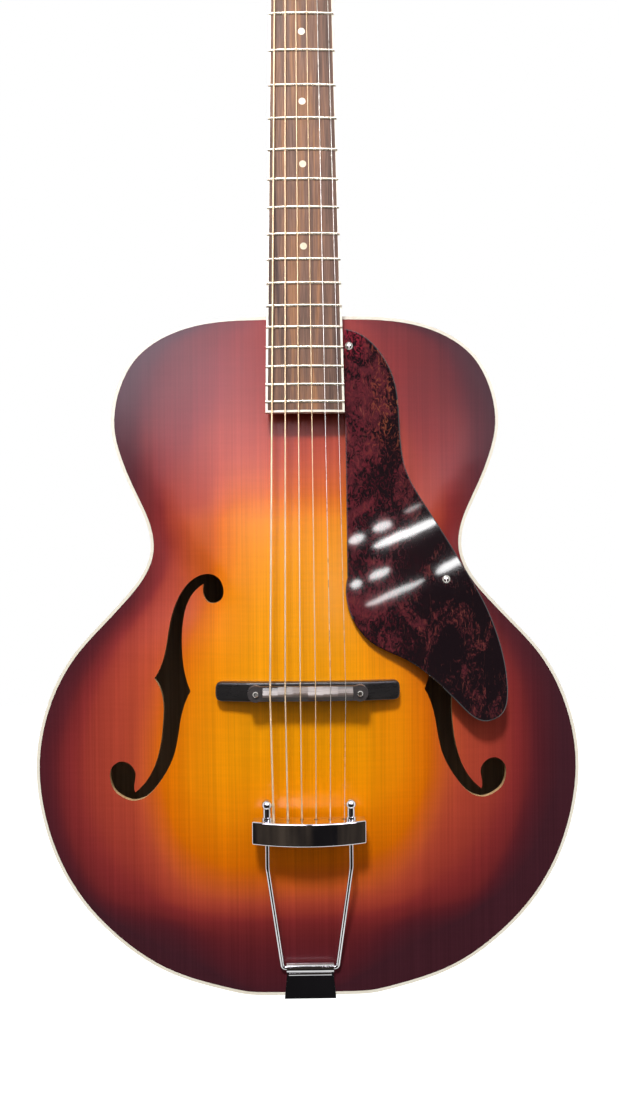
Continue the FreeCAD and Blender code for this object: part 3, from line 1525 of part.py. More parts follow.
def make_end_pin():
    body = new_body("end_pin")
    sketch = new_sketch(body, "XZ_Plane")
    shank = size.pin_shank_diameter / 2
    flange = size.pin_flange_diameter / 2
    neck = size.pin_neck_diameter / 2
    head = size.pin_head_diameter / 2
    under = -(size.pin_flange_height + size.pin_neck_height)
    band = under - size.pin_head_height
    end = band - size.pin_crown
    polygon(sketch, (
        (0, size.pin_shank_length), (shank, size.pin_shank_length), (shank, 0), (flange, 0),
        (flange, -size.pin_flange_height), (neck, -size.pin_flange_height), (neck, under), (head, under),
        (head, band), (head - size.pin_crown, end), (0, end),
    ))
    revolution(body, sketch, "V_Axis")
    place = Vector(0, float(size.rim_depth) / 2, float(tail_face()[0]))
    keep(body, "end_pin", body_frame.multiply(Placement(place, Rotation())))


def screw_shape(head, dome, shank, length):
    """A slotted round-head screw that points along +Y, with its head's seat at the origin."""
    radius = float(head) / 2
    dome = float(dome)
    ball = (radius * radius + dome * dome) / (2 * dome)
    angle = math.asin(radius / ball) / 2
    bulge = Vector(ball * math.sin(angle), ball - dome - ball * math.cos(angle), 0)
    tip = Vector(0, -dome, 0)
    rim = Vector(radius, 0, 0)
    corners = [
        rim, Vector(float(shank) / 2, 0, 0), Vector(float(shank) / 2, float(length), 0),
        Vector(0, float(length), 0), tip,
    ]
    edges = [Part.Arc(tip, bulge, rim).toShape()]
    edges += [Part.LineSegment(start, end).toShape() for start, end in zip(corners, corners[1:])]
    screw = Part.Face(Part.Wire(edges)).revolve(Vector(0, 0, 0), axis_y, full_circle)
    half = size.screw_slot / 2
    return screw.cut(box(-half, half, -2 * dome, -dome / 2, -radius, radius))


# Pickguard
def make_pickguard():
    body = new_body("pickguard")
    sketch = new_sketch(body, "XZ_Plane")
    points = []
    for across, down in guard_edge_shares:
        place = float(size.guard_offset) + across * float(size.guard_width)
        points.append(Vector(place, -down * float(size.guard_length), 0))
    sketch.addGeometry(curve_edge(points))
    sketch.addGeometry(Part.LineSegment(points[-1], points[0]))
    pad(body, sketch, size.guard_thickness)
    holes = new_sketch(body, "XZ_Plane")
    for across, down in guard_screw_shares:
        circle(holes, size.guard_offset + size.guard_width * across, -(size.guard_length * down),
               size.guard_screw_shank / 2 + size.glue_line)
    bores = pocket(body, holes, backwards=True)
    doc.recompute()
    names = []
    for number, edge in enumerate(bores.Shape.Edges, start=1):
        long = edge.Length > float(size.guard_screw_head) * math.pi
        if long and edge.BoundBox.YMax < -float(size.guard_thickness - size.glue_line):
            names.append(f"Edge{number}")
    bevel = body.newObject("PartDesign::Chamfer", "Chamfer")
    bevel.Base = (bores, names)
    bind(bevel, Size=size.guard_bevel)
    keep(body, "pickguard", guard_frame)


def make_pickguard_spacers():
    spacers = []
    room = front_space(size.glue_line)
    for number in range(len(guard_screw_shares)):
        place = guard_screw_place(number) + axis_y * float(size.glue_line)
        post = cylinder(size.spacer_diameter / 2, place, place + axis_y * float(size.arch_top * 2))
        post = placed(post, in_body(guard_frame)).common(room).cut(guard_screw_bores())
        spacers.append(post.Solids[0])
    feature("pickguard_spacers", Part.makeCompound(spacers), body_frame)


def make_pickguard_screws():
    screws = []
    to_body = in_body(guard_frame)
    for number in range(len(guard_screw_shares)):
        place = guard_screw_place(number)
        spot = to_body.multVec(place)
        height = -float(size.arch_top) * arch_share(spot.x, spot.z)
        wood = to_body.inverse().multVec(Vector(spot.x, height, spot.z)).y
        front = -float(size.guard_thickness)
        screw = screw_shape(
            size.guard_screw_head, size.guard_screw_dome, size.guard_screw_shank,
            wood - front + float(size.guard_screw_bite),
        )
        screws.append(placed(screw, Placement(Vector(place.x, front, place.z), Rotation())))
    feature("pickguard_screws", Part.makeCompound(screws), guard_frame)


# Tuners
def gear_level():
    """Depth of the gear's and the worm's middle behind the headstock's face."""
    plate = size.head_thickness + size.glue_line + size.plate_sheet
    return plate + size.gear_lift + size.gear_thickness / 2


def worm_drop():
    """Distance of the worm's axis below the post's."""
    return size.gear_module * gear_teeth / 2 + size.worm_pitch_radius + size.mesh_gap


def mirrored(shape, side):
    """A tuner piece as drawn for the treble side, or its mirror image for the bass side."""
    return shape if side > 0 else shape.mirror(Vector(0, 0, 0), axis_x)


def tuner_frame(place):
    return head_frame.multiply(Placement(place, Rotation()))


def tuner_plate_shape():
    half = size.plate_width / 2
    front = size.head_thickness + size.glue_line
    back = front + size.plate_sheet
    plate = box(-half, half, front, back, -size.plate_down, size.plate_up)
    corners = [edge for edge in plate.Edges if abs(edge.tangentAt(edge.FirstParameter).y) > parallel_share]
    plate = plate.makeFillet(float(size.plate_screw_inset), corners)
    tabs = []
    for near, far in (
        (size.tab_offset, size.tab_offset + size.tab_thickness),
        (-(size.tab_offset + size.tab_thickness), -size.tab_offset),
    ):
        tabs.append(box(
            near, far, front, gear_level() + size.tab_width / 2,
            -(worm_drop() + size.tab_width / 2), -(worm_drop() - size.tab_width / 2),
        ))
    reach = float(size.head_width)
    axle = Vector(0, float(gear_level()), -float(worm_drop()))
    worm_bore = size.worm_shaft_diameter / 2 + size.running_fit
    post_bore = size.tuner_post_diameter / 2 + size.running_fit
    bores = [
        cylinder(worm_bore, axle - axis_x * reach, axle + axis_x * reach),
        cylinder(post_bore, axis_y * -reach, axis_y * reach),
    ]
    for up in (size.plate_up - size.plate_screw_inset, -(size.plate_down - size.plate_screw_inset)):
        spot = axis_z * float(up)
        radius = size.small_screw_shank / 2 + size.glue_line
        bores.append(cylinder(radius, spot - axis_y * reach, spot + axis_y * reach))
    return plate.fuse(tabs).cut(bores).removeSplitter()


def make_tuner_plates():
    shape = tuner_plate_shape()
    plates = []
    for side, place in tuner_places():
        plates.append(placed(mirrored(shape, side), Placement(place, Rotation())).Solids[0])
    feature("tuner_plates", Part.makeCompound(plates), head_frame)


def make_bushings():
    front = -float(size.veneer_thickness + size.glue_line)
    flange = Vector(0, front - float(size.bushing_flange_height), 0)
    seat = Vector(0, front - float(size.glue_line), 0)
    foot = Vector(0, front + float(size.bushing_length), 0)
    sleeve = cylinder(size.bushing_diameter / 2, seat, foot)
    ring = cylinder(size.bushing_flange / 2, flange, seat)
    bore = cylinder(size.tuner_post_diameter / 2 + size.running_fit, flange, foot)
    bushing = sleeve.fuse(ring).cut(bore)
    bushings = [placed(bushing, Placement(place, Rotation())).Solids[0] for side, place in tuner_places()]
    feature("tuner_bushings", Part.makeCompound(bushings), head_frame)


def make_small_screws():
    screw = screw_shape(
        size.small_screw_head, size.small_screw_dome, size.small_screw_shank, size.small_screw_length
    )
    screws = [placed(screw, frame) for frame in small_screw_places()]
    feature("small_screws", Part.makeCompound(screws), head_frame)


def gear_shape():
    """The tuner gear round the post's axis, with a tooth gap towards the worm."""
    pitch = math.pi * float(size.gear_module)
    pitch_radius = float(size.gear_module) * gear_teeth / 2
    tip = pitch_radius + float(size.gear_module)
    root = pitch_radius - float(size.gear_module) * dedendum_share
    corners = []
    for tooth in range(gear_teeth):
        middle = -math.pi / 2 + 2 * math.pi * (tooth + 0.5) / gear_teeth
        for radius, share, side in (
            (root, tooth_root_share, -1), (tip, tooth_tip_share, -1),
            (tip, tooth_tip_share, 1), (root, tooth_root_share, 1),
        ):
            angle = middle + side * share * pitch / 2 / radius
            corners.append(Vector(radius * math.cos(angle), 0, radius * math.sin(angle)))
    face = Part.Face(Part.makePolygon(corners + corners[:1]))
    front = float(gear_level() - size.gear_thickness / 2)
    face.translate(axis_y * front)
    gear = face.extrude(axis_y * float(size.gear_thickness))
    reach = axis_y * float(size.head_width)
    return gear.cut(cylinder(size.gear_seat_diameter / 2 + size.glue_line, -reach, reach))


def post_shape():
    """A tuner post with its string hole, its gear seat and the gear screw's bore."""
    top = -float(size.veneer_thickness + size.tuner_post_height)
    shoulder = float(gear_level() - size.gear_thickness / 2 - size.glue_line)
    end = float(gear_level() + size.gear_thickness / 2)
    post = cylinder(size.tuner_post_diameter / 2, axis_y * top, axis_y * shoulder)
    rim = [edge for edge in post.Edges if abs(edge.CenterOfMass.y - top) < float(size.glue_line)]
    post = post.makeFillet(float(size.tuner_post_diameter) / 6, rim)
    post = post.fuse(cylinder(size.gear_seat_diameter / 2, axis_y * shoulder, axis_y * end))
    hole = axis_y * (top + float(size.tuner_hole_drop))
    reach = axis_x * float(size.tuner_post_diameter)
    bore = cylinder(
        size.gear_seat_diameter / 4 + size.glue_line,
        axis_y * (end - 2 * float(size.gear_thickness) - float(size.glue_line)), axis_y * (2 * end),
    )
    return post.cut([cylinder(size.tuner_hole_diameter / 2, hole - reach, hole + reach), bore])


def gear_screw_shape():
    seat = float(gear_level() + size.gear_thickness / 2 + size.glue_line)
    head = cylinder(
        size.gear_screw_diameter / 2, axis_y * seat, axis_y * (seat + float(size.gear_screw_height))
    )
    rim = [edge for edge in head.Edges if edge.CenterOfMass.y > seat + float(size.glue_line)]
    head = head.makeFillet(float(size.gear_screw_height) / 3, rim[:1])
    tip = seat - 2 * float(size.gear_thickness)
    shank = cylinder(size.gear_seat_diameter / 4, axis_y * tip, axis_y * (seat + float(size.glue_line)))
    half = size.screw_slot / 2
    high = seat + float(size.gear_screw_height)
    slot = box(-half, half, high - float(size.gear_screw_height) / 2, 2 * high,
               -size.gear_screw_diameter, size.gear_screw_diameter)
    return head.fuse(shank).cut(slot)


def string_tail(gauge):
    """A string's cut end, held in its post's hole."""
    top = -float(size.veneer_thickness + size.tuner_post_height)
    hole = top + float(size.tuner_hole_drop + size.tuner_hole_diameter / 2 - gauge / 2 - size.glue_line / 2)
    reach = axis_x * (float(size.tuner_post_diameter) * tail_reach_share)
    return cylinder(gauge / 2, axis_y * hole - reach, axis_y * hole + reach)


def worm_shape():
    """The worm and its shaft along X, with the thread's crest towards the gear at its middle."""
    pitch = math.pi * float(size.gear_module)
    root = float(size.worm_pitch_radius) - float(size.gear_module) * dedendum_share
    tip = float(size.worm_pitch_radius) + float(size.gear_module)
    sunk = root * thread_sink_share
    wide = pitch * thread_root_share / 2
    narrow = pitch * thread_tip_share / 2
    corners = [
        Vector(sunk, 0, -wide), Vector(tip, 0, -narrow), Vector(tip, 0, narrow), Vector(sunk, 0, wide),
    ]
    profile = Part.Wire(Part.makePolygon(corners + corners[:1]))
    helix = Part.makeHelix(pitch, pitch * worm_turns, root)
    thread = Part.Wire(helix).makePipeShell([profile], True, True)
    thread.translate(axis_z * (-pitch * worm_turns / 2))
    thread.rotate(Vector(0, 0, 0), axis_y, quarter_circle)
    start = axis_x * -float(size.tab_offset + size.tab_thickness + size.overrun / 2)
    end = axis_x * float(size.tuner_inset + size.button_gap + size.button_bore)
    worm = cylinder(size.worm_shaft_diameter / 2, start, end).fuse(thread)
    worm.translate(Vector(0, float(gear_level()), -float(worm_drop())))
    return worm


def make_button(label, side, place):
    body = new_body(label)
    sketch = new_sketch(body, "XZ_Plane")
    half = float(size.button_length) / 2
    sketch.addGeometry(Part.Ellipse(Vector(half, 0, 0), half, float(size.button_width) / 2))
    blank = pad(body, sketch, size.button_thickness, both_ways=True)
    doc.recompute()
    rounding = body.newObject("PartDesign::Fillet", "Fillet")
    rims = [
        f"Edge{number}" for number, edge in enumerate(blank.Shape.Edges, start=1)
        if edge.Length > float(size.button_length)
    ]
    rounding.Base = (blank, rims)
    bind(rounding, Radius=size.button_round)
    bore = new_sketch(body, "YZ_Plane")
    circle(bore, 0, 0, size.worm_shaft_diameter / 2 + size.glue_line)
    cut = pocket(body, bore, backwards=True)
    cut.Type = "Length"
    bind(cut, Length=size.button_bore + size.glue_line)
    reach = side * float(size.tuner_inset + size.button_gap)
    offset = Vector(reach, float(gear_level()), -float(worm_drop()))
    turned = Rotation() if side > 0 else Rotation(axis_y, half_circle)
    keep(body, label, tuner_frame(place).multiply(Placement(offset, turned)))


def make_tuners():
    worm = worm_shape()
    post = post_shape()
    gear = gear_shape()
    screw = gear_screw_shape()
    for number, (side, place) in enumerate(tuner_places()):
        name = f"tuner_{number + 1}"
        frame = tuner_frame(place)
        feature(f"{name}_worm", mirrored(worm, side), frame)
        pieces = [post, gear, screw, string_tail(gauges()[number])]
        feature(f"{name}_post", Part.makeCompound([mirrored(piece, side) for piece in pieces]), frame)
        make_button(f"{name}_button", side, place)


def write_parts():
    """Stops on a failed object or an invalid shape, then writes one file for each sub-part."""
    doc.recompute()
    for item in doc.Objects:
        if "Invalid" in item.State or "Error" in item.State:
            raise RuntimeError(f"{item.Label} failed: {item.State}")
    for item in sub_parts:
        if item.Shape.isNull() or not item.Shape.isValid() or not item.Shape.Solids:
            raise RuntimeError(f"{item.Label} has no valid solid")
    os.makedirs("parts", exist_ok=True)
    for item in sub_parts:
        item.Shape.exportStep(f"parts/{item.Label}.step")
        print(f"{item.Label}: {len(item.Shape.Solids)} solids, {item.Shape.Volume:.1f} mm3")


make_plates()
make_rim()
make_linings()
make_blocks()
make_tone_bars()
make_body_binding()
make_fingerboard()
make_dots()
make_frets()
make_neck()
make_truss_rod()
make_veneer()
make_truss_rod_cover()
make_nut()
make_bridge_base()
make_bridge_posts()
make_thumbwheel("thumbwheel_bass", post_places()[0])
make_thumbwheel("thumbwheel_treble", post_places()[1])
make_saddle()
make_tailpiece_bar()
make_tailpiece_frame()
make_ball_nuts()
make_tailpiece_hinge()
make_tail_screws()
make_end_pin()
make_pickguard()
make_pickguard_spacers()
make_pickguard_screws()
make_strings()
make_tuner_plates()
make_bushings()
make_small_screws()
make_tuners()
write_parts()
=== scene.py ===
import json
import math

import bmesh
import bpy
from mathutils import Matrix, Vector


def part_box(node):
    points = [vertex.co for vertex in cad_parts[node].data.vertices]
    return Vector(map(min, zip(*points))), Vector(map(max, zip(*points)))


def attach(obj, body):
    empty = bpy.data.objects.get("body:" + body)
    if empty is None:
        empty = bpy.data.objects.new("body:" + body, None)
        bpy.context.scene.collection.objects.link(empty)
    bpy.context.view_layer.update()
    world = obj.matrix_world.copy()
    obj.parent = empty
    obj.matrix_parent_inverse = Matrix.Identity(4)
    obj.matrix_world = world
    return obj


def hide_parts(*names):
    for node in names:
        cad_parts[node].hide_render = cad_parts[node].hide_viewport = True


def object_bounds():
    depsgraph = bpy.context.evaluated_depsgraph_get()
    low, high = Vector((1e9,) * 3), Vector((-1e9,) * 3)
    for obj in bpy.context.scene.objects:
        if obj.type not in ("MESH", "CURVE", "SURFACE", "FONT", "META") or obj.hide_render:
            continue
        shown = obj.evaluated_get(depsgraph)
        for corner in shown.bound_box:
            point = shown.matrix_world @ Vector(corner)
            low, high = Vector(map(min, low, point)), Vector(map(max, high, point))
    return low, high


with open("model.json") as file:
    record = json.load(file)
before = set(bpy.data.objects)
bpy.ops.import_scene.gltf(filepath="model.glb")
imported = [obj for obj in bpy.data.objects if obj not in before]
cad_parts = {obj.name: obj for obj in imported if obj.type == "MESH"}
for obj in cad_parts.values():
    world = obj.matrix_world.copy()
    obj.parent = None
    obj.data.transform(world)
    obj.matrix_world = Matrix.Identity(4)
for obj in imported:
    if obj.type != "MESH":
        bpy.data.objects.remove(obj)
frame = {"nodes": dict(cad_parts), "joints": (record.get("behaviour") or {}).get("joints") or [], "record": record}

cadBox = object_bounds()
nodes = frame["nodes"]
bodies = frame["record"]["behaviour"]["bodies"]
bodyOf = {node: body for body, members in bodies.items() for node in members}
joints = {joint["name"]: joint for joint in frame["joints"]}
bindingLow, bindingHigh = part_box("body_binding")
guardLow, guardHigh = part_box("pickguard")
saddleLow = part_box("bridge_saddle")[0]
print("frame loaded:", len(nodes), "nodes")

noiseSpan = {   # the values between which most of a noise lies
    "shade": (0.25, 0.75),
    "gloss": (0.2, 0.8),
    "scuff": (0.3, 0.7),
}


# Node helpers
def wire(tree, socket, value):
    if isinstance(value, bpy.types.NodeSocket):
        tree.links.new(value, socket)
    else:
        socket.default_value = value


def addNode(tree, kind, inputs=None, **settings):
    node = tree.nodes.new(kind)
    for key, value in settings.items():
        setattr(node, key, value)
    for key, value in (inputs or {}).items():
        wire(tree, node.inputs[key], value)
    return node


def calc(tree, how, *values):
    node = addNode(tree, "ShaderNodeMath", operation=how)
    for socket, value in zip(node.inputs, values):
        wire(tree, socket, value)
    return node.outputs[0]


def remap(tree, value, low, high, outLow=0.0, outHigh=1.0):
    inputs = {"Value": value, "From Min": low, "From Max": high,
              "To Min": outLow, "To Max": outHigh}
    node = addNode(tree, "ShaderNodeMapRange", inputs, interpolation_type="SMOOTHSTEP")
    return node.outputs["Result"]


def placed(tree, scale=(1, 1, 1), turn=(0, 0, 0)):
    point = addNode(tree, "ShaderNodeTexCoord").outputs["Object"]
    inputs = {"Vector": point, "Scale": scale, "Rotation": turn}
    return addNode(tree, "ShaderNodeMapping", inputs).outputs["Vector"]


def axes(tree, vector):
    return addNode(tree, "ShaderNodeSeparateXYZ", {"Vector": vector}).outputs


def noise(tree, point, scale, detail=3.0, rough=0.5, bend=0.0):
    inputs = {"Vector": point, "Scale": scale, "Detail": detail,
              "Roughness": rough, "Distortion": bend}
    return addNode(tree, "ShaderNodeTexNoise", inputs).outputs["Fac"]


def streaks(tree, scale, detail=3.0, rough=0.5, bend=0.0, turn=(0, 0, 0)):
    return noise(tree, placed(tree, scale, turn), 1.0, detail, rough, bend)


def ramp(tree, value, stops, between="LINEAR"):
    node = addNode(tree, "ShaderNodeValToRGB", {"Fac": value})
    node.color_ramp.interpolation = between
    bar = node.color_ramp.elements
    bar[0].position = stops[0][0]
    bar[1].position = stops[-1][0]
    for stop in stops[1:-1]:
        bar.new(stop[0])
    for element, stop in zip(bar, stops):
        element.color = (*stop[1], 1)
    return node.outputs["Color"]


def curve(tree, value, points):
    node = addNode(tree, "ShaderNodeFloatCurve", {"Value": value})
    line = node.mapping.curves[0].points
    line[0].location = points[0]
    line[1].location = points[-1]
    for point in points[1:-1]:
        line.new(*point)
    node.mapping.update()
    return node.outputs["Value"]


def mixed(tree, how, factor, first, second):
    node = addNode(tree, "ShaderNodeMix", data_type="RGBA", blend_type=how)
    wire(tree, node.inputs[0], factor)
    for socket, value in zip(node.inputs[6:8], (first, second)):   # the two colour sockets
        wire(tree, socket, (*value, 1) if isinstance(value, tuple) else value)
    return node.outputs[2]


def shaded(tree, colour, value, low, high):
    level = remap(tree, value, *noiseSpan["shade"], low, high)
    channels = {"Red": level, "Green": level, "Blue": level}
    grey = addNode(tree, "ShaderNodeCombineColor", channels).outputs["Color"]
    return mixed(tree, "MULTIPLY", 1.0, colour, grey)


def bumped(tree, shader, height, strength, depth):
    inputs = {"Height": height, "Strength": strength, "Distance": depth}
    normal = addNode(tree, "ShaderNodeBump", inputs).outputs["Normal"]
    wire(tree, shader.inputs["Normal"], normal)


def newFinish(name, settings):
    finish = bpy.data.materials.new(name)
    finish.use_nodes = True
    tree = finish.node_tree
    shader = tree.nodes["Principled BSDF"]
    for key, value in settings.items():
        shader.inputs[key].default_value = value
    return finish, tree, shader


# Sunburst: how far a point lies from the amber middle, by its place on the body
burst = {
    "outline": (   # half width over the widest half, down the body
        (0.0, 0.2), (0.024, 0.514), (0.059, 0.632), (0.118, 0.702), (0.153, 0.715),
        (0.2, 0.694), (0.248, 0.648), (0.295, 0.595), (0.336, 0.572), (0.366, 0.589),
        (0.401, 0.647), (0.448, 0.756), (0.496, 0.861), (0.568, 0.958), (0.663, 1.0),
        (0.734, 0.979), (0.804, 0.92), (0.875, 0.805), (0.922, 0.684), (0.97, 0.487),
        (1.0, 0.2)),
    "down": (   # darkness along the middle, down the body
        (0.0, 0.75), (0.1, 0.75), (0.18, 0.67), (0.256, 0.54), (0.325, 0.23), (0.4, 0.08),
        (0.515, 0.0), (0.6, 0.05), (0.65, 0.13), (0.71, 0.29), (0.787, 0.46), (0.846, 0.6),
        (0.88, 0.75), (0.91, 0.86), (0.95, 0.91), (1.0, 0.97)),
    "across": (   # darkness from the middle out to the edge
        (0.0, 0.0), (0.2, 0.09), (0.3, 0.22), (0.4, 0.34), (0.5, 0.49), (0.6, 0.61),
        (0.7, 0.66), (0.8, 0.73), (0.9, 0.87), (1.0, 0.96)),
    "share": (   # how much of that counts, down the body
        (0.0, 0.9), (0.2, 0.9), (0.33, 0.88), (0.45, 1.0), (1.0, 1.0)),
    "aside": 0.015,   # painted shade: the amber middle moves left in the lower bout, so its right side is darker as if the light fell off there
    "asideSpan": (0.35, 0.85),
    "blend": 3.0,
    "cloud": 0.05,
    "cloudNoise": (9.0, 2.0),
    "cloudMiddle": 0.5,
}


def burstField(tree):
    point = axes(tree, placed(tree))
    height = bindingHigh.z - bindingLow.z
    down = calc(tree, "DIVIDE", calc(tree, "SUBTRACT", bindingHigh.z, point["Z"]), height)
    # painted shade: the middle of the burst moves sideways lower down, darkening the right of the lower bout
    lean = remap(tree, down, *burst["asideSpan"], 0.0, burst["aside"])
    aside = calc(tree, "ABSOLUTE", calc(tree, "ADD", point["X"], lean))
    across = calc(tree, "DIVIDE", aside, bindingHigh.x)
    across = calc(tree, "DIVIDE", across, curve(tree, down, burst["outline"]))
    across = curve(tree, calc(tree, "MINIMUM", across, 1.0), burst["across"])
    across = calc(tree, "MULTIPLY", across, curve(tree, down, burst["share"]))
    ways = (curve(tree, down, burst["down"]), across)
    ways = [calc(tree, "POWER", way, burst["blend"]) for way in ways]
    field = calc(tree, "POWER", calc(tree, "ADD", *ways), 1.0 / burst["blend"])
    cloud = noise(tree, placed(tree), *burst["cloudNoise"])
    cloud = calc(tree, "SUBTRACT", cloud, burst["cloudMiddle"])
    return calc(tree, "MULTIPLY_ADD", cloud, burst["cloud"], field)


def faceTurn(tree):
    normal = addNode(tree, "ShaderNodeNewGeometry").outputs["True Normal"]
    return axes(tree, normal)["Y"]


# Spruce top: lacquer in front, bare wood inside the body
spruce = {
    "gloss": {"Specular IOR Level": 0.24, "Coat Weight": 0.08, "Coat Roughness": 0.2},
    "stops": (
        (0.0, (0.93, 0.345, 0.0005)), (0.35, (0.86, 0.245, 0.0005)), (0.5, (0.71, 0.15, 0.001)),
        (0.62, (0.53, 0.082, 0.026)), (0.75, (0.31, 0.036, 0.026)), (0.87, (0.145, 0.017, 0.02)),
        (1.0, (0.055, 0.013, 0.02))),
    "bare": ((0.3, (0.5, 0.3, 0.14)), (0.7, (0.7, 0.46, 0.24))),
    "fineGrain": (900, 40, 7),
    "fineShade": (0.9, 1.06),
    "wideGrain": (150, 20, 1.5),
    "wideShade": (0.93, 1.05),
    "silk": (30, 30, 500),
    "silkShade": (0.97, 1.02),
    "frontTurn": (-0.3, -0.45),
    "mottle": 14.0,
    "roughness": (0.225, 0.268),
    "relief": (0.12, 0.0002),
}


def spruceTop():
    finish, tree, shader = newFinish("spruceTop", spruce["gloss"])
    fine = streaks(tree, spruce["fineGrain"])
    lacquer = ramp(tree, burstField(tree), spruce["stops"], "CARDINAL")
    lacquer = shaded(tree, lacquer, fine, *spruce["fineShade"])
    lacquer = shaded(tree, lacquer, streaks(tree, spruce["wideGrain"]), *spruce["wideShade"])
    lacquer = shaded(tree, lacquer, streaks(tree, spruce["silk"]), *spruce["silkShade"])
    bare = ramp(tree, fine, spruce["bare"])
    front = remap(tree, faceTurn(tree), *spruce["frontTurn"])
    wire(tree, shader.inputs["Base Color"], mixed(tree, "MIX", front, bare, lacquer))
    mottle = noise(tree, placed(tree), spruce["mottle"])
    dullness = remap(tree, mottle, *noiseSpan["gloss"], *spruce["roughness"])
    wire(tree, shader.inputs["Roughness"], dullness)
    bumped(tree, shader, fine, *spruce["relief"])
    return finish


# Maple back and sides, curled
maple = {
    "gloss": {"Roughness": 0.42, "Specular IOR Level": 0.12,
              "Coat Weight": 0.03, "Coat Roughness": 0.2},
    "back": (
        (0.0, (0.4, 0.105, 0.02)), (0.5, (0.27, 0.055, 0.012)), (0.75, (0.14, 0.025, 0.009)),
        (1.0, (0.07, 0.014, 0.009))),
    "sides": ((0.6, (0.2, 0.045, 0.013)), (1.0, (0.13, 0.028, 0.012))),
    "bare": ((0.3, (0.36, 0.22, 0.11)), (0.7, (0.5, 0.33, 0.18))),
    "bareGrain": (400, 60, 9),
    "backCurl": ((14, 10, 150), 2.0, 0.5, 0.6),   # scale, detail, roughness, bend
    "sideCurl": ((150, 9, 150), 2.0, 0.5, 0.4),
    "curlShade": (0.7, 1.28),
    "pores": (500, 500, 14),
    "poreShade": (0.93, 1.06),
    "flatTurn": (0.4, 0.6),
    "backTurn": (0.3, 0.45),
    "relief": (0.05, 0.0003),
}


def mapleBody(name, stops, inwards):
    finish, tree, shader = newFinish(name, maple["gloss"])
    facing = faceTurn(tree)
    flat = remap(tree, calc(tree, "ABSOLUTE", facing), *maple["flatTurn"])
    curl = mixed(tree, "MIX", flat, streaks(tree, *maple["sideCurl"]),
                 streaks(tree, *maple["backCurl"]))
    colour = shaded(tree, ramp(tree, burstField(tree), stops), curl, *maple["curlShade"])
    colour = shaded(tree, colour, streaks(tree, maple["pores"]), *maple["poreShade"])
    if inwards:
        bare = ramp(tree, streaks(tree, maple["bareGrain"]), maple["bare"])
        colour = mixed(tree, "MIX", remap(tree, facing, *maple["backTurn"]), bare, colour)
    wire(tree, shader.inputs["Base Color"], colour)
    bumped(tree, shader, curl, *maple["relief"])
    return finish


# Plain woods
woodGrain = {
    "coatRoughness": 0.2,
    "broadShare": 0.2,
    "broadNoise": (4.0, 0.6, 0.8),
    "fineNoise": (4.0, 0.65),
    "shade": (0.72, 1.18),
    "swing": 0.06,
    "poreDepth": 0.0002,
}
plainWoods = {   # stops, grain, roughness, coat, pores
    "innerWood": (
        ((0.3, (0.42, 0.25, 0.12)), (0.7, (0.62, 0.42, 0.22))),
        (400, 400, 9), 0.6, 0.0, 0.2),
    "neckWood": (
        ((0.3, (0.12, 0.032, 0.012)), (0.55, (0.18, 0.05, 0.018)), (0.75, (0.25, 0.075, 0.026))),
        (700, 700, 16), 0.36, 0.06, 0.1),
    "bridgeEbony": (
        ((0.35, (0.008, 0.0075, 0.0075)), (0.6, (0.014, 0.0125, 0.012)),
         (0.8, (0.024, 0.02, 0.018))),
        (50, 800, 800), 0.3, 0.0, 0.12),
}


def plainWood(name, stops, grain, roughness, coat, pores):
    finish, tree, shader = newFinish(name, {
        "Coat Weight": coat, "Coat Roughness": woodGrain["coatRoughness"]})
    broadGrain = tuple(woodGrain["broadShare"] * scale for scale in grain)
    broad = streaks(tree, broadGrain, *woodGrain["broadNoise"])
    fine = streaks(tree, grain, *woodGrain["fineNoise"])
    colour = shaded(tree, ramp(tree, broad, stops), fine, *woodGrain["shade"])
    wire(tree, shader.inputs["Base Color"], colour)
    dull, shiny = roughness + woodGrain["swing"], roughness - woodGrain["swing"]
    dullness = remap(tree, fine, *noiseSpan["gloss"], dull, shiny)
    wire(tree, shader.inputs["Roughness"], dullness)
    bumped(tree, shader, fine, pores, woodGrain["poreDepth"])
    return finish


# Saddle, paler along its crest: partly wear, partly a painted highlight on its upper slope where the light falls
saddle = {
    "stops": ((0.3, (0.022, 0.018, 0.017)), (0.7, (0.045, 0.036, 0.033))),
    # paler crest colours: worn wood with a painted highlight
    "crest": (
        (0.3, (0.1, 0.072, 0.062)), (0.55, (0.16, 0.12, 0.103)), (0.75, (0.22, 0.17, 0.148))),
    "grain": ((60, 900, 900), 4.0, 0.65),
    "crestDepths": (0.0034, 0.0026),   # from the saddle's front
    "crestRises": (0.0036, 0.0043),   # from its lower end
    "roughness": (0.46, 0.34),
    "relief": (0.2, 0.0002),
}


def saddleWood():
    finish, tree, shader = newFinish("saddleWood", {})
    fine = streaks(tree, *saddle["grain"])
    point = axes(tree, placed(tree))
    front = remap(tree, point["Y"], *(saddleLow.y + depth for depth in saddle["crestDepths"]))
    upperWornAndLit = remap(tree, point["Z"], *(saddleLow.z + rise for rise in saddle["crestRises"]))
    # crest top on its upper slope: partly wear, partly painted highlight
    worn = calc(tree, "MULTIPLY", front, upperWornAndLit)
    colour = mixed(tree, "MIX", worn, ramp(tree, fine, saddle["stops"]),
                   ramp(tree, fine, saddle["crest"]))
    wire(tree, shader.inputs["Base Color"], colour)
    dullness = remap(tree, fine, *noiseSpan["gloss"], *saddle["roughness"])
    wire(tree, shader.inputs["Roughness"], dullness)
    bumped(tree, shader, fine, *saddle["relief"])
    return finish


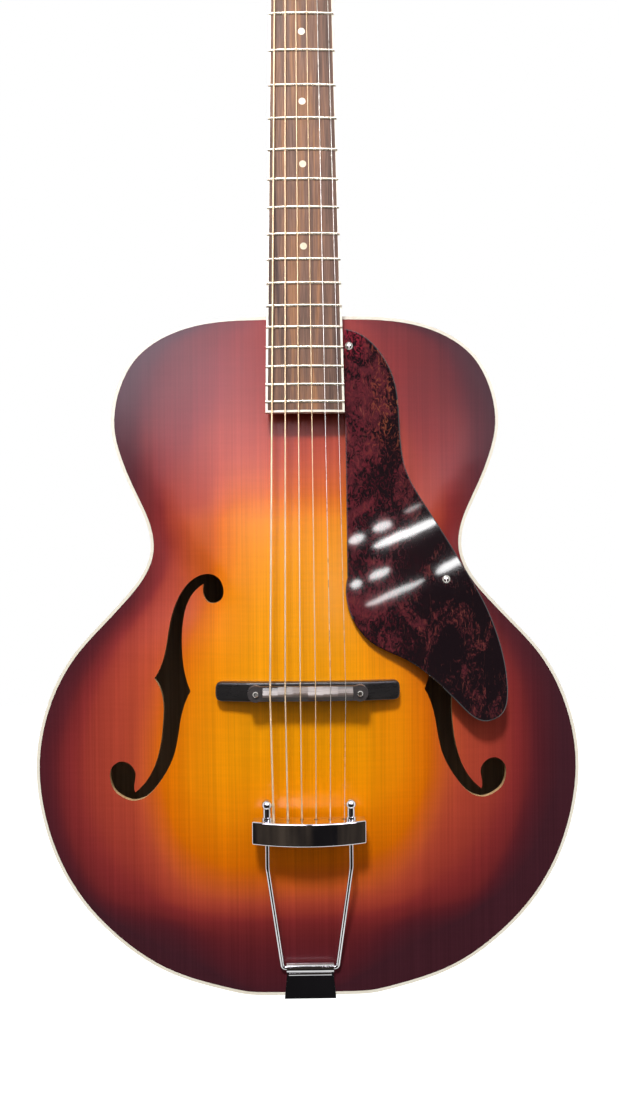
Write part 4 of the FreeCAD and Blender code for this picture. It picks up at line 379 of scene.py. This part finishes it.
# Fingerboard, paler along its middle
board = {
    "gloss": {"Specular IOR Level": 0.12},
    "stops": (
        (0.3, (0.075, 0.041, 0.03)), (0.42, (0.145, 0.08, 0.054)), (0.53, (0.21, 0.108, 0.068)),
        (0.63, (0.31, 0.145, 0.068)), (0.76, (0.4, 0.19, 0.08))),
    "middle": (0.003, 0.02),
    "middleLift": (0.09, -0.05),
    "bands": ((170, 60, 7), 4.0, 0.6, 0.5),
    "grain": ((1300, 500, 24), 4.0, 0.65),
    "shade": (0.7, 1.2),
    "roughness": (0.52, 0.4),
    "relief": (0.3, 0.0002),
}


def rosewood():
    finish, tree, shader = newFinish("fingerboardWood", board["gloss"])
    across = calc(tree, "ABSOLUTE", axes(tree, placed(tree))["X"])
    lift = remap(tree, across, *board["middle"], *board["middleLift"])
    bands = calc(tree, "ADD", streaks(tree, *board["bands"]), lift)
    fine = streaks(tree, *board["grain"])
    colour = shaded(tree, ramp(tree, bands, board["stops"]), fine, *board["shade"])
    wire(tree, shader.inputs["Base Color"], colour)
    dullness = remap(tree, fine, *noiseSpan["gloss"], *board["roughness"])
    wire(tree, shader.inputs["Roughness"], dullness)
    bumped(tree, shader, fine, *board["relief"])
    return finish


# Cast plastics and bone
plasticSkin = {
    "cloudNoise": (4.0, 0.55, 0.5),
    "scuffNoise": (260.0, 3.0, 0.6),
    "shinier": 0.05,
    "duller": 0.07,
    "relief": (0.04, 0.0001),
}
plastics = {   # stops, scale of the clouds, roughness
    "creamBinding": (((0.35, (0.86, 0.79, 0.65)), (0.65, (0.91, 0.86, 0.74))), 18.0, 0.24),
    "dotInlay": (((0.3, (0.66, 0.56, 0.36)), (0.7, (0.8, 0.7, 0.48))), 420.0, 0.26),
    "nutBone": (((0.3, (0.74, 0.68, 0.52)), (0.7, (0.84, 0.79, 0.66))), 160.0, 0.36),
    "buttonCream": (((0.3, (0.72, 0.6, 0.4)), (0.7, (0.84, 0.74, 0.56))), 70.0, 0.2),
    "blackPlastic": (((0.3, (0.008, 0.008, 0.008)), (0.7, (0.015, 0.014, 0.014))), 60.0, 0.16),
}


def castPlastic(name, stops, cloudScale, roughness):
    finish, tree, shader = newFinish(name, {})
    cloud = noise(tree, placed(tree), cloudScale, *plasticSkin["cloudNoise"])
    wire(tree, shader.inputs["Base Color"], ramp(tree, cloud, stops))
    scuff = noise(tree, placed(tree), *plasticSkin["scuffNoise"])
    shiny, dull = roughness - plasticSkin["shinier"], roughness + plasticSkin["duller"]
    dullness = remap(tree, scuff, *noiseSpan["scuff"], shiny, dull)
    wire(tree, shader.inputs["Roughness"], dullness)
    bumped(tree, shader, scuff, *plasticSkin["relief"])
    return finish


# Pickguard: up and out are shares of its height and width
shell = {
    "gloss": {"Roughness": 0.04, "IOR": 1.54},
    "lean": (0, math.radians(32), 0),
    "clouds": ((42, 42, 28), 5.0, 0.62, 1.6),   # scale, detail, roughness, bend
    "flecks": ((260, 260, 150), 5.0, 0.66, 2.2),
    "threads": ((380, 380, 70), 3.0, 0.6, 1.6),
    "base": (0.011, 0.006, 0.008),
    "inner": (0.62, 0.03),
    "innerLift": 0.17,
    "wine": (0.1, 0.018, 0.025),
    "wineFlecks": 0.7,
    "wineSpan": (0.89, 1.13),
    "red": (0.24, 0.018, 0.034),
    "redUp": (0.91, 0.95),
    "redOut": (0.17, 0.08),
    "redInner": 1.5,
    "redFlecks": (0.46, 0.62),
    "amber": (0.23, 0.068, 0.03),
    "amberUp": (0.62, 0.8),
    "amberOut": (0.1, 0.24),
    "amberClouds": (0.5, 0.66),
    "amberShare": 0.35,
    "amberFlecks": (0.52, 0.68),
    "thread": (0.25, 0.066, 0.05),
    "threadSpan": (0.6, 0.74),
    "threadClouds": (0.4, 0.66),
    "threadShares": (0.08, 0.8),
    "waves": (26.0, 2.0),
    "relief": (0.04, 0.001),
}


def tortoise():
    finish, tree, shader = newFinish("tortoise", shell["gloss"])
    point = axes(tree, placed(tree))
    span = guardHigh - guardLow
    up = calc(tree, "DIVIDE", calc(tree, "SUBTRACT", point["Z"], guardLow.z), span.z)
    out = calc(tree, "DIVIDE", calc(tree, "SUBTRACT", point["X"], guardLow.x), span.x)
    clouds, flecks, threads = (streaks(tree, *shell[layer], turn=shell["lean"])
                               for layer in ("clouds", "flecks", "threads"))
    inner = remap(tree, out, *shell["inner"], 0.0, shell["innerLift"])

    wine = calc(tree, "MULTIPLY", flecks, shell["wineFlecks"])
    wine = calc(tree, "ADD", calc(tree, "ADD", clouds, inner), wine)
    wine = remap(tree, wine, *shell["wineSpan"])
    colour = mixed(tree, "MIX", wine, shell["base"], shell["wine"])

    red = calc(tree, "MULTIPLY", remap(tree, up, *shell["redUp"]),
               remap(tree, out, *shell["redOut"]))
    red = calc(tree, "ADD", red, calc(tree, "MULTIPLY", inner, shell["redInner"]))
    red = calc(tree, "MULTIPLY", remap(tree, flecks, *shell["redFlecks"]), red)
    colour = mixed(tree, "MIX", red, colour, shell["red"])

    amber = calc(tree, "MULTIPLY", remap(tree, up, *shell["amberUp"]),
                 remap(tree, out, *shell["amberOut"]))
    clouded = remap(tree, clouds, *shell["amberClouds"])
    amber = calc(tree, "ADD", amber, calc(tree, "MULTIPLY", clouded, shell["amberShare"]))
    amber = calc(tree, "MULTIPLY", remap(tree, flecks, *shell["amberFlecks"]), amber)
    colour = mixed(tree, "MIX", amber, colour, shell["amber"])

    thread = remap(tree, clouds, *shell["threadClouds"], *shell["threadShares"])
    thread = calc(tree, "MULTIPLY", remap(tree, threads, *shell["threadSpan"]), thread)
    colour = mixed(tree, "MIX", thread, colour, shell["thread"])
    wire(tree, shader.inputs["Base Color"], colour)
    bumped(tree, shader, noise(tree, placed(tree), *shell["waves"]), *shell["relief"])
    return finish


# Metals
plating = {
    "wearNoise": (4.0, 0.6),
    "cloudNoise": (40.0, 3.0),
    "cloudSpan": (0.3, 0.75),
    "wornShare": 0.82,
    "relief": (0.03, 0.0001),
}
metals = {   # colour, roughness, haze, scale of the wear, metallic share
    "fretNickel": ((0.7, 0.63, 0.5), 0.22, 0.08, (120, 120, 120), 0.8),
    "brightChrome": ((0.82, 0.82, 0.83), 0.04, 0.05, (320, 320, 320), 1.0),
    "nickel": ((0.7, 0.68, 0.63), 0.16, 0.16, (320, 320, 320), 1.0),
    "agedNickel": ((0.47, 0.45, 0.4), 0.22, 0.2, (320, 320, 320), 1.0),
    "rodSteel": ((0.36, 0.36, 0.37), 0.35, 0.2, (320, 320, 320), 1.0),
    "plainString": ((0.88, 0.83, 0.73), 0.24, 0.1, (900, 900, 60), 0.6),
}


def plated(name, colour, roughness, haze, grain, metallic):
    finish, tree, shader = newFinish(name, {"Metallic": metallic})
    wear = streaks(tree, grain, *plating["wearNoise"])
    cloud = noise(tree, placed(tree), *plating["cloudNoise"])
    worn = tuple(plating["wornShare"] * share for share in colour)
    clouded = mixed(tree, "MIX", remap(tree, cloud, *plating["cloudSpan"]), colour, worn)
    wire(tree, shader.inputs["Base Color"], clouded)
    dullness = remap(tree, wear, *noiseSpan["shade"], roughness, roughness + haze)
    wire(tree, shader.inputs["Roughness"], dullness)
    bumped(tree, shader, wear, *plating["relief"])
    return finish


winding = {
    "gloss": {"Metallic": 0.6, "Roughness": 0.36},
    "turns": {"Scale": 640.0, "Distortion": 0.4},
    "tarnish": (60.0, 3.0),
    "stops": ((0.3, (0.78, 0.56, 0.32)), (0.7, (0.9, 0.7, 0.45))),
    "shade": (0.72, 1.08),
    "relief": (0.5, 0.0001),
}


def windings():
    finish, tree, shader = newFinish("woundString", winding["gloss"])
    turns = addNode(tree, "ShaderNodeTexWave", {"Vector": placed(tree), **winding["turns"]},
                    wave_type="BANDS", bands_direction="Z").outputs["Fac"]
    bronze = ramp(tree, noise(tree, placed(tree), *winding["tarnish"]), winding["stops"])
    wire(tree, shader.inputs["Base Color"], shaded(tree, bronze, turns, *winding["shade"]))
    bumped(tree, shader, turns, *winding["relief"])
    return finish


finishes = {
    "spruceTop": spruceTop(),
    "mapleBack": mapleBody("mapleBack", maple["back"], True),
    "mapleSides": mapleBody("mapleSides", maple["sides"], False),
    "saddleWood": saddleWood(),
    "fingerboardWood": rosewood(),
    "tortoise": tortoise(),
    "woundString": windings(),
}
for makeFinish, kinds in ((plainWood, plainWoods), (castPlastic, plastics), (plated, metals)):
    for name, settings in kinds.items():
        finishes[name] = makeFinish(name, *settings)
print("finishes made:", len(finishes))

# Which finish each piece wears
tunerNumbers = range(1, 7)
wears = {
    "spruceTop": ["soundboard"],
    "mapleBack": ["back_plate"],
    "mapleSides": ["rim_bass", "rim_treble"],
    "innerWood": ["linings", "neck_block", "tail_block", "tone_bars"],
    "neckWood": ["neck"],
    "fingerboardWood": ["fingerboard"],
    "saddleWood": ["bridge_saddle"],
    "bridgeEbony": ["bridge_base"],
    "creamBinding": ["body_binding", "fingerboard_binding"],
    "dotInlay": ["position_dots"],
    "nutBone": ["nut"],
    "buttonCream": [f"tuner_{number}_button" for number in tunerNumbers],
    "blackPlastic": [
        "headstock_veneer", "truss_rod_cover", "heel_cap", "pickguard_spacers", "end_pin"],
    "tortoise": ["pickguard"],
    "fretNickel": ["frets"],
    "brightChrome": [
        "tailpiece_bar", "tailpiece_frame", "tailpiece_ball_nuts", "tailpiece_hinge"],
    "nickel": [
        "bridge_posts", "thumbwheel_bass", "thumbwheel_treble", "tailpiece_screws",
        "pickguard_screws", "tuner_bushings", "small_screws",
        *(f"tuner_{number}_{piece}" for number in tunerNumbers for piece in ("post", "worm"))],
    "agedNickel": ["tuner_plates"],
    "rodSteel": ["truss_rod"],
    "plainString": ["string_1", "string_2"],
    "woundString": ["string_3", "string_4", "string_5", "string_6"],
}
finishOf = {node: finishes[name] for name, members in wears.items() for node in members}
for name, node in nodes.items():
    node.data.materials.clear()
    node.data.materials.append(finishOf[name])
print("finishes worn by:", len(finishOf), "nodes")


# Mesh helpers
weldGap = 1e-6   # corners closer than this are one corner


def turned(degrees, axis):
    return Matrix.Rotation(math.radians(degrees), 4, axis)


def madeFrom(form, name, finish):
    mesh = bpy.data.meshes.new(name)
    form.to_mesh(mesh)
    form.free()
    mesh.materials.append(finish)
    piece = bpy.data.objects.new(name, mesh)
    bpy.context.scene.collection.objects.link(piece)
    return piece


def finished(form, name, node):
    piece = madeFrom(form, name, finishOf[node])
    piece.data.shade_smooth()
    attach(piece, bodyOf[node])
    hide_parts(node)
    return piece


def welded(node):
    form = bmesh.new()
    form.from_mesh(nodes[node].data)
    bmesh.ops.remove_doubles(form, verts=form.verts, dist=weldGap)
    return form


def settled(source):   # the mesh that a curve or a modifier makes
    bpy.context.scene.collection.objects.link(source)
    bpy.context.view_layer.update()
    graph = bpy.context.evaluated_depsgraph_get()
    shape = bpy.data.meshes.new_from_object(source.evaluated_get(graph))
    bpy.data.objects.remove(source)
    form = bmesh.new()
    form.from_mesh(shape)
    bpy.data.meshes.remove(shape)
    return form


# Pieces with their edges eased, from the same solids
flatAngle = math.radians(0.5)   # faces that turn less than this are one face
eased = {   # node: rounding in metres, steps, corner angle in degrees, slot
    "bridge_saddle": (0.0006, 3, 28, "rosewood"),
    "nut": (0.0004, 3, 40, "bone"),
    "truss_rod_cover": (0.0005, 3, 40, "black_plastic"),
    "headstock_veneer": (0.0005, 3, 50, "ebony"),
    "tailpiece_hinge": (0.0004, 3, 40, "bright_chrome"),
}


def easedPiece(node, width, steps, corner, slotName):
    form = welded(node)
    bmesh.ops.dissolve_limit(form, angle_limit=flatAngle, verts=form.verts, edges=form.edges)
    edges = [edge for edge in form.edges
             if edge.is_manifold and edge.calc_face_angle() > math.radians(corner)]
    bmesh.ops.bevel(form, geom=edges, offset=width, affect="EDGES", segments=steps,
                    profile=0.5, material=-1, clamp_overlap=True)
    piece = finished(form, f"{node}_eased", node)
    piece.data.set_sharp_from_angle(angle=math.radians(corner))
    flats = piece.modifiers.new("flats", "WEIGHTED_NORMAL")
    flats.keep_sharp = True


for easedNode, easedHow in eased.items():
    easedPiece(easedNode, *easedHow)
print("eased pieces:", len(eased))

# Bridge base, rounded over like a pillow
pillow = {
    "grain": 0.0006,
    "rounds": 14,
    "force": 0.5,
}


def makePillow(node):
    form = welded(node)
    rough = bpy.data.meshes.new(f"{node}_rough")
    form.to_mesh(rough)
    form.free()
    block = bpy.data.objects.new(f"{node}_block", rough)
    even = block.modifiers.new("even", "REMESH")
    even.mode = "VOXEL"
    even.voxel_size = pillow["grain"]
    form = settled(block)
    bpy.data.meshes.remove(rough)
    for _ in range(pillow["rounds"]):
        bmesh.ops.smooth_vert(form, verts=form.verts, factor=pillow["force"],
                              use_axis_x=True, use_axis_y=True, use_axis_z=True)
    bmesh.ops.recalc_face_normals(form, faces=form.faces)
    finished(form, f"{node}_rounded", node)


makePillow("bridge_base")
print("bridge base rounded")

# Strings, from their ball ends over the saddle and the nut to their turns on the posts
strings = {
    "gauges": (0.0003, 0.00041, 0.00061, 0.00081, 0.00107, 0.00135),
    "slots": ("plain_string",) * 2 + ("wound_string",) * 4,
    "roundness": 3,
    "weldGap": 1e-7,
    "neckAngle": -3.1,
    "headAngle": -17.1,
    "headStart": (0, 0.00027, 0.00499),
    "tailSpacing": 0.05075,
    "tailDepth": -0.0265,
    "tailDrop": 0.37296,
    "twist": 0.016,   # the doubled end beside the ball
    "twistThick": 1.5,
    "twistFade": 0.01,
    "crestSpacing": 0.0536,
    "crestRise": 0.0122,
    "crestRadius": 0.305,
    "crestDrop": 0.6342,
    "crestSteps": (0, 0.00066, 0.0012, -0.0003, 0.00042, 0.00108),
    "nutSpacing": 0.036,
    "nutRise": 0.0077,
    "nutUp": 0.00508,
    "postRadius": 0.00335,
    "wrapRise": 0.0042,
    "wrapGap": 0.00055,
    "turns": 2.25,
    "turnSteps": 28,
}
neckTurn = turned(strings["neckAngle"], "X")
headTurn = Matrix.Translation(strings["headStart"]) @ turned(strings["headAngle"], "X")


def stringLine(number, gauge):
    share = 0.5 - number / (len(strings["gauges"]) - 1)   # from one edge to the other
    side = 1 if share > 0 else -1
    tail = Vector((strings["tailSpacing"] * share, bindingLow.y + strings["tailDepth"],
                   bindingHigh.z - strings["tailDrop"]))
    across = strings["crestSpacing"] * share
    crown = strings["crestRise"] - across * across / (2 * strings["crestRadius"])
    crest = neckTurn @ Vector((across, -crown, -strings["crestDrop"]))
    crest.z -= strings["crestSteps"][number]
    nutHeight = strings["nutRise"] + gauge / 2
    nut = neckTurn @ Vector((strings["nutSpacing"] * share, -nutHeight, strings["nutUp"]))
    twistEnd = tail + (crest - tail).normalized() * strings["twist"]
    fadeEnd = twistEnd + (crest - tail) * strings["twistFade"]
    thick = strings["twistThick"]
    line = [(tail, thick), (twistEnd, thick), (fadeEnd, 1.0), (crest, 1.0), (nut, 1.0)]

    post = headTurn.inverted() @ Vector(joints[f"tuner_{number + 1}_wind"]["pos_m"])
    start = headTurn.inverted() @ nut
    radius = strings["postRadius"] + gauge / 2
    away = Vector((start.x - post.x, start.z - post.z))
    first = math.atan2(away.y, away.x) - side * math.acos(radius / away.length)
    for step in range(int(strings["turns"] * strings["turnSteps"]) + 1):
        wound = step / strings["turnSteps"]
        angle = first - side * 2 * math.pi * wound
        depth = strings["wrapRise"] + gauge / 2 + (gauge + strings["wrapGap"]) * wound
        spot = Vector((post.x + radius * math.cos(angle), -depth,
                       post.z + radius * math.sin(angle)))
        line.append((headTurn @ spot, 1.0))
    return line


def makeString(number, gauge):
    node = f"string_{number + 1}"
    path = bpy.data.curves.new(f"{node}_path", "CURVE")
    path.dimensions = "3D"
    path.bevel_depth = gauge / 2
    path.bevel_resolution = strings["roundness"]
    path.use_fill_caps = True
    line = stringLine(number, gauge)
    spline = path.splines.new("POLY")
    spline.points.add(len(line) - 1)
    for point, (spot, thick) in zip(spline.points, line):
        point.co = (*spot, 1)
        point.radius = thick
    form = settled(bpy.data.objects.new(f"{node}_guide", path))
    bmesh.ops.remove_doubles(form, verts=form.verts, dist=strings["weldGap"])
    bmesh.ops.recalc_face_normals(form, faces=form.faces)
    finished(form, f"{node}_wire", node)


for stringNumber, stringGauge in enumerate(strings["gauges"]):
    makeString(stringNumber, stringGauge)
print("strings strung:", len(strings["gauges"]))

# Floor
ground = {
    "drop": 0.9,
    "radius": 7.0,
    "sides": 96,
    "paint": {"Base Color": (0.35, 0.35, 0.35, 1), "Roughness": 0.9, "Specular IOR Level": 0.0,
              "Emission Color": (1, 1, 1, 1), "Emission Strength": 0.95},
}


def makeFloor():
    form = bmesh.new()
    bmesh.ops.create_circle(form, cap_ends=True, segments=ground["sides"],
                            radius=ground["radius"])
    level = Vector((0, 0, cadBox[0][2] - ground["drop"]))
    bmesh.ops.translate(form, verts=form.verts, vec=level)
    floor = madeFrom(form, "floor", newFinish("floorPaint", ground["paint"])[0])
    floor.visible_diffuse = False
    floor.visible_glossy = False


# Dark card in front of the guitar, seen only in reflections
mirror = {
    "place": (0, -1.5, -0.9),
    "size": (6.0, 4.4),
    "blots": ((2.2, 1, 1.6), 3.0, 0.55, 0.6),
    "tones": (
        (0.4, (0.01, 0.009, 0.01)), (0.62, (0.05, 0.038, 0.03)), (0.8, (0.16, 0.12, 0.09))),
    "paint": {"Base Color": (0, 0, 0, 1), "Roughness": 1.0, "Specular IOR Level": 0.0,
              "Emission Strength": 1.0},
}
upright = turned(90, "X")


def makeCard():
    paint, tree, shader = newFinish("cardPaint", mirror["paint"])
    blots = streaks(tree, *mirror["blots"])
    wire(tree, shader.inputs["Emission Color"], ramp(tree, blots, mirror["tones"]))
    form = bmesh.new()
    place = Matrix.Translation(mirror["place"]) @ upright @ Matrix.Diagonal((*mirror["size"], 1, 1))
    bmesh.ops.create_grid(form, x_segments=1, y_segments=1, size=0.5, matrix=place)
    card = madeFrom(form, "mirrorCard", paint)
    card.visible_camera = False
    card.visible_diffuse = False
    card.visible_shadow = False
    card.visible_transmission = False


# Soft light from above, on a background that is seen as white
sky = {
    "heights": (-0.4, 0.8),
    "glow": (0.05, 1.0),
}


def makeWorld():
    world = bpy.data.worlds.new("studio")
    world.use_nodes = True
    bpy.context.scene.world = world
    tree = world.node_tree
    path = addNode(tree, "ShaderNodeLightPath").outputs
    seen = calc(tree, "MAXIMUM", path["Is Camera Ray"], path["Is Glossy Ray"])
    seen = calc(tree, "MAXIMUM", seen, path["Is Transmission Ray"])
    way = addNode(tree, "ShaderNodeTexCoord").outputs["Generated"]
    fill = remap(tree, axes(tree, way)["Z"], *sky["heights"], *sky["glow"])
    back = tree.nodes["Background"]
    back.inputs["Color"].default_value = (1, 1, 1, 1)
    wire(tree, back.inputs["Strength"], calc(tree, "MAXIMUM", seen, fill))


makeFloor()
makeCard()
makeWorld()
print("floor, card and sky made")

# Lamps: the haze and the strips show only as reflections
lamps = {
    "keyWay": (-0.15, -1.0, 1.06),
    "keyDistance": 2.6,
    "keySize": 0.35,
    "keyGlow": 150.0,
    "backPlace": (-0.9, 2.3, 0.7),
    "backSize": 0.9,
    "backGlow": 13.0,
    "hazeTint": (0.95, 0.86, 1.0),
    "haze": (   # middle, width, height, glow
        ((-0.59, -1.42, 0.3), 1.02, 1.0, 8.2),
        ((0.64, -1.42, 0.5), 1.12, 0.6, 8.8),
        ((0.85, -1.42, -0.05), 0.6, 0.5, 6.8)),
    "strips": (   # middle, length, width, slant in degrees, glow
        ((0.243, -1.4, -0.4), 0.18, 0.018, 23, 22),
        ((0.208, -1.4, -0.537), 0.146, 0.014, 23.6, 13),
        ((0.34, -1.4, -0.4745), 0.085, 0.018, 26.8, 20),
        ((0.123, -1.4, -0.4166), 0.04, 0.018, 25, 16),
        ((0.181, -1.4, -0.387), 0.046, 0.018, 25, 16),
        ((0.119, -1.4, -0.5176), 0.028, 0.018, 25, 16),
        ((0.1736, -1.4, -0.4938), 0.05, 0.016, 25, 16),
        ((0.2515, -1.4, -0.3453), 0.044, 0.007, 27, 8)),
}


def addLamp(name, place, target, glow, width, height, slant=0.0, shape="RECTANGLE"):
    lamp = bpy.data.lights.new(name, "AREA")
    lamp.shape = shape
    lamp.size = width
    lamp.size_y = height
    lamp.energy = glow * math.pi * width * height   # the same brightness at any size
    lampObject = bpy.data.objects.new(name, lamp)
    lampObject.location = place
    aim = (Vector(target) - Vector(place)).to_track_quat("-Z", "Y").to_matrix()
    lampObject.rotation_euler = (aim @ turned(slant, "Z").to_3x3()).to_euler()
    lampObject.visible_camera = False
    bpy.context.scene.collection.objects.link(lampObject)
    return lampObject


middle = Vector((0, 0, (bindingLow.z + bindingHigh.z) / 2))
forward = Vector((0, 1, 0))
keyPlace = middle + Vector(lamps["keyWay"]).normalized() * lamps["keyDistance"]
addLamp("keyLamp", keyPlace, middle, lamps["keyGlow"], lamps["keySize"], lamps["keySize"])
addLamp("backLamp", lamps["backPlace"], middle, lamps["backGlow"],
        lamps["backSize"], lamps["backSize"])
for place, width, height, glow in lamps["haze"]:
    hazeLamp = addLamp("hazeLamp", place, Vector(place) + forward, glow, width, height)
    hazeLamp.data.color = lamps["hazeTint"]
    hazeLamp.visible_diffuse = False
for place, length, width, slant, glow in lamps["strips"]:
    stripLamp = addLamp("stripLamp", place, Vector(place) + forward, glow, length, width,
                        slant, "ELLIPSE")
    stripLamp.visible_diffuse = False

# Camera, where the photograph was taken
view = {
    "place": (-0.00336, -0.67565, -0.53029),
    "pan": -0.496,
    "roll": 0.55,
    "lens": 29.127,
    "sensor": 36.0,
}
lens = bpy.data.cameras.new("photoCamera")
lens.lens = view["lens"]
lens.sensor_width = view["sensor"]
camera = bpy.data.objects.new("photoCamera", lens)
camera.matrix_world = (Matrix.Translation(view["place"]) @ turned(view["pan"], "Z")
                       @ upright @ turned(-view["roll"], "Z"))
bpy.context.scene.collection.objects.link(camera)
bpy.context.scene.camera = camera
bpy.context.scene.view_settings.view_transform = "Standard"
print("stage set")
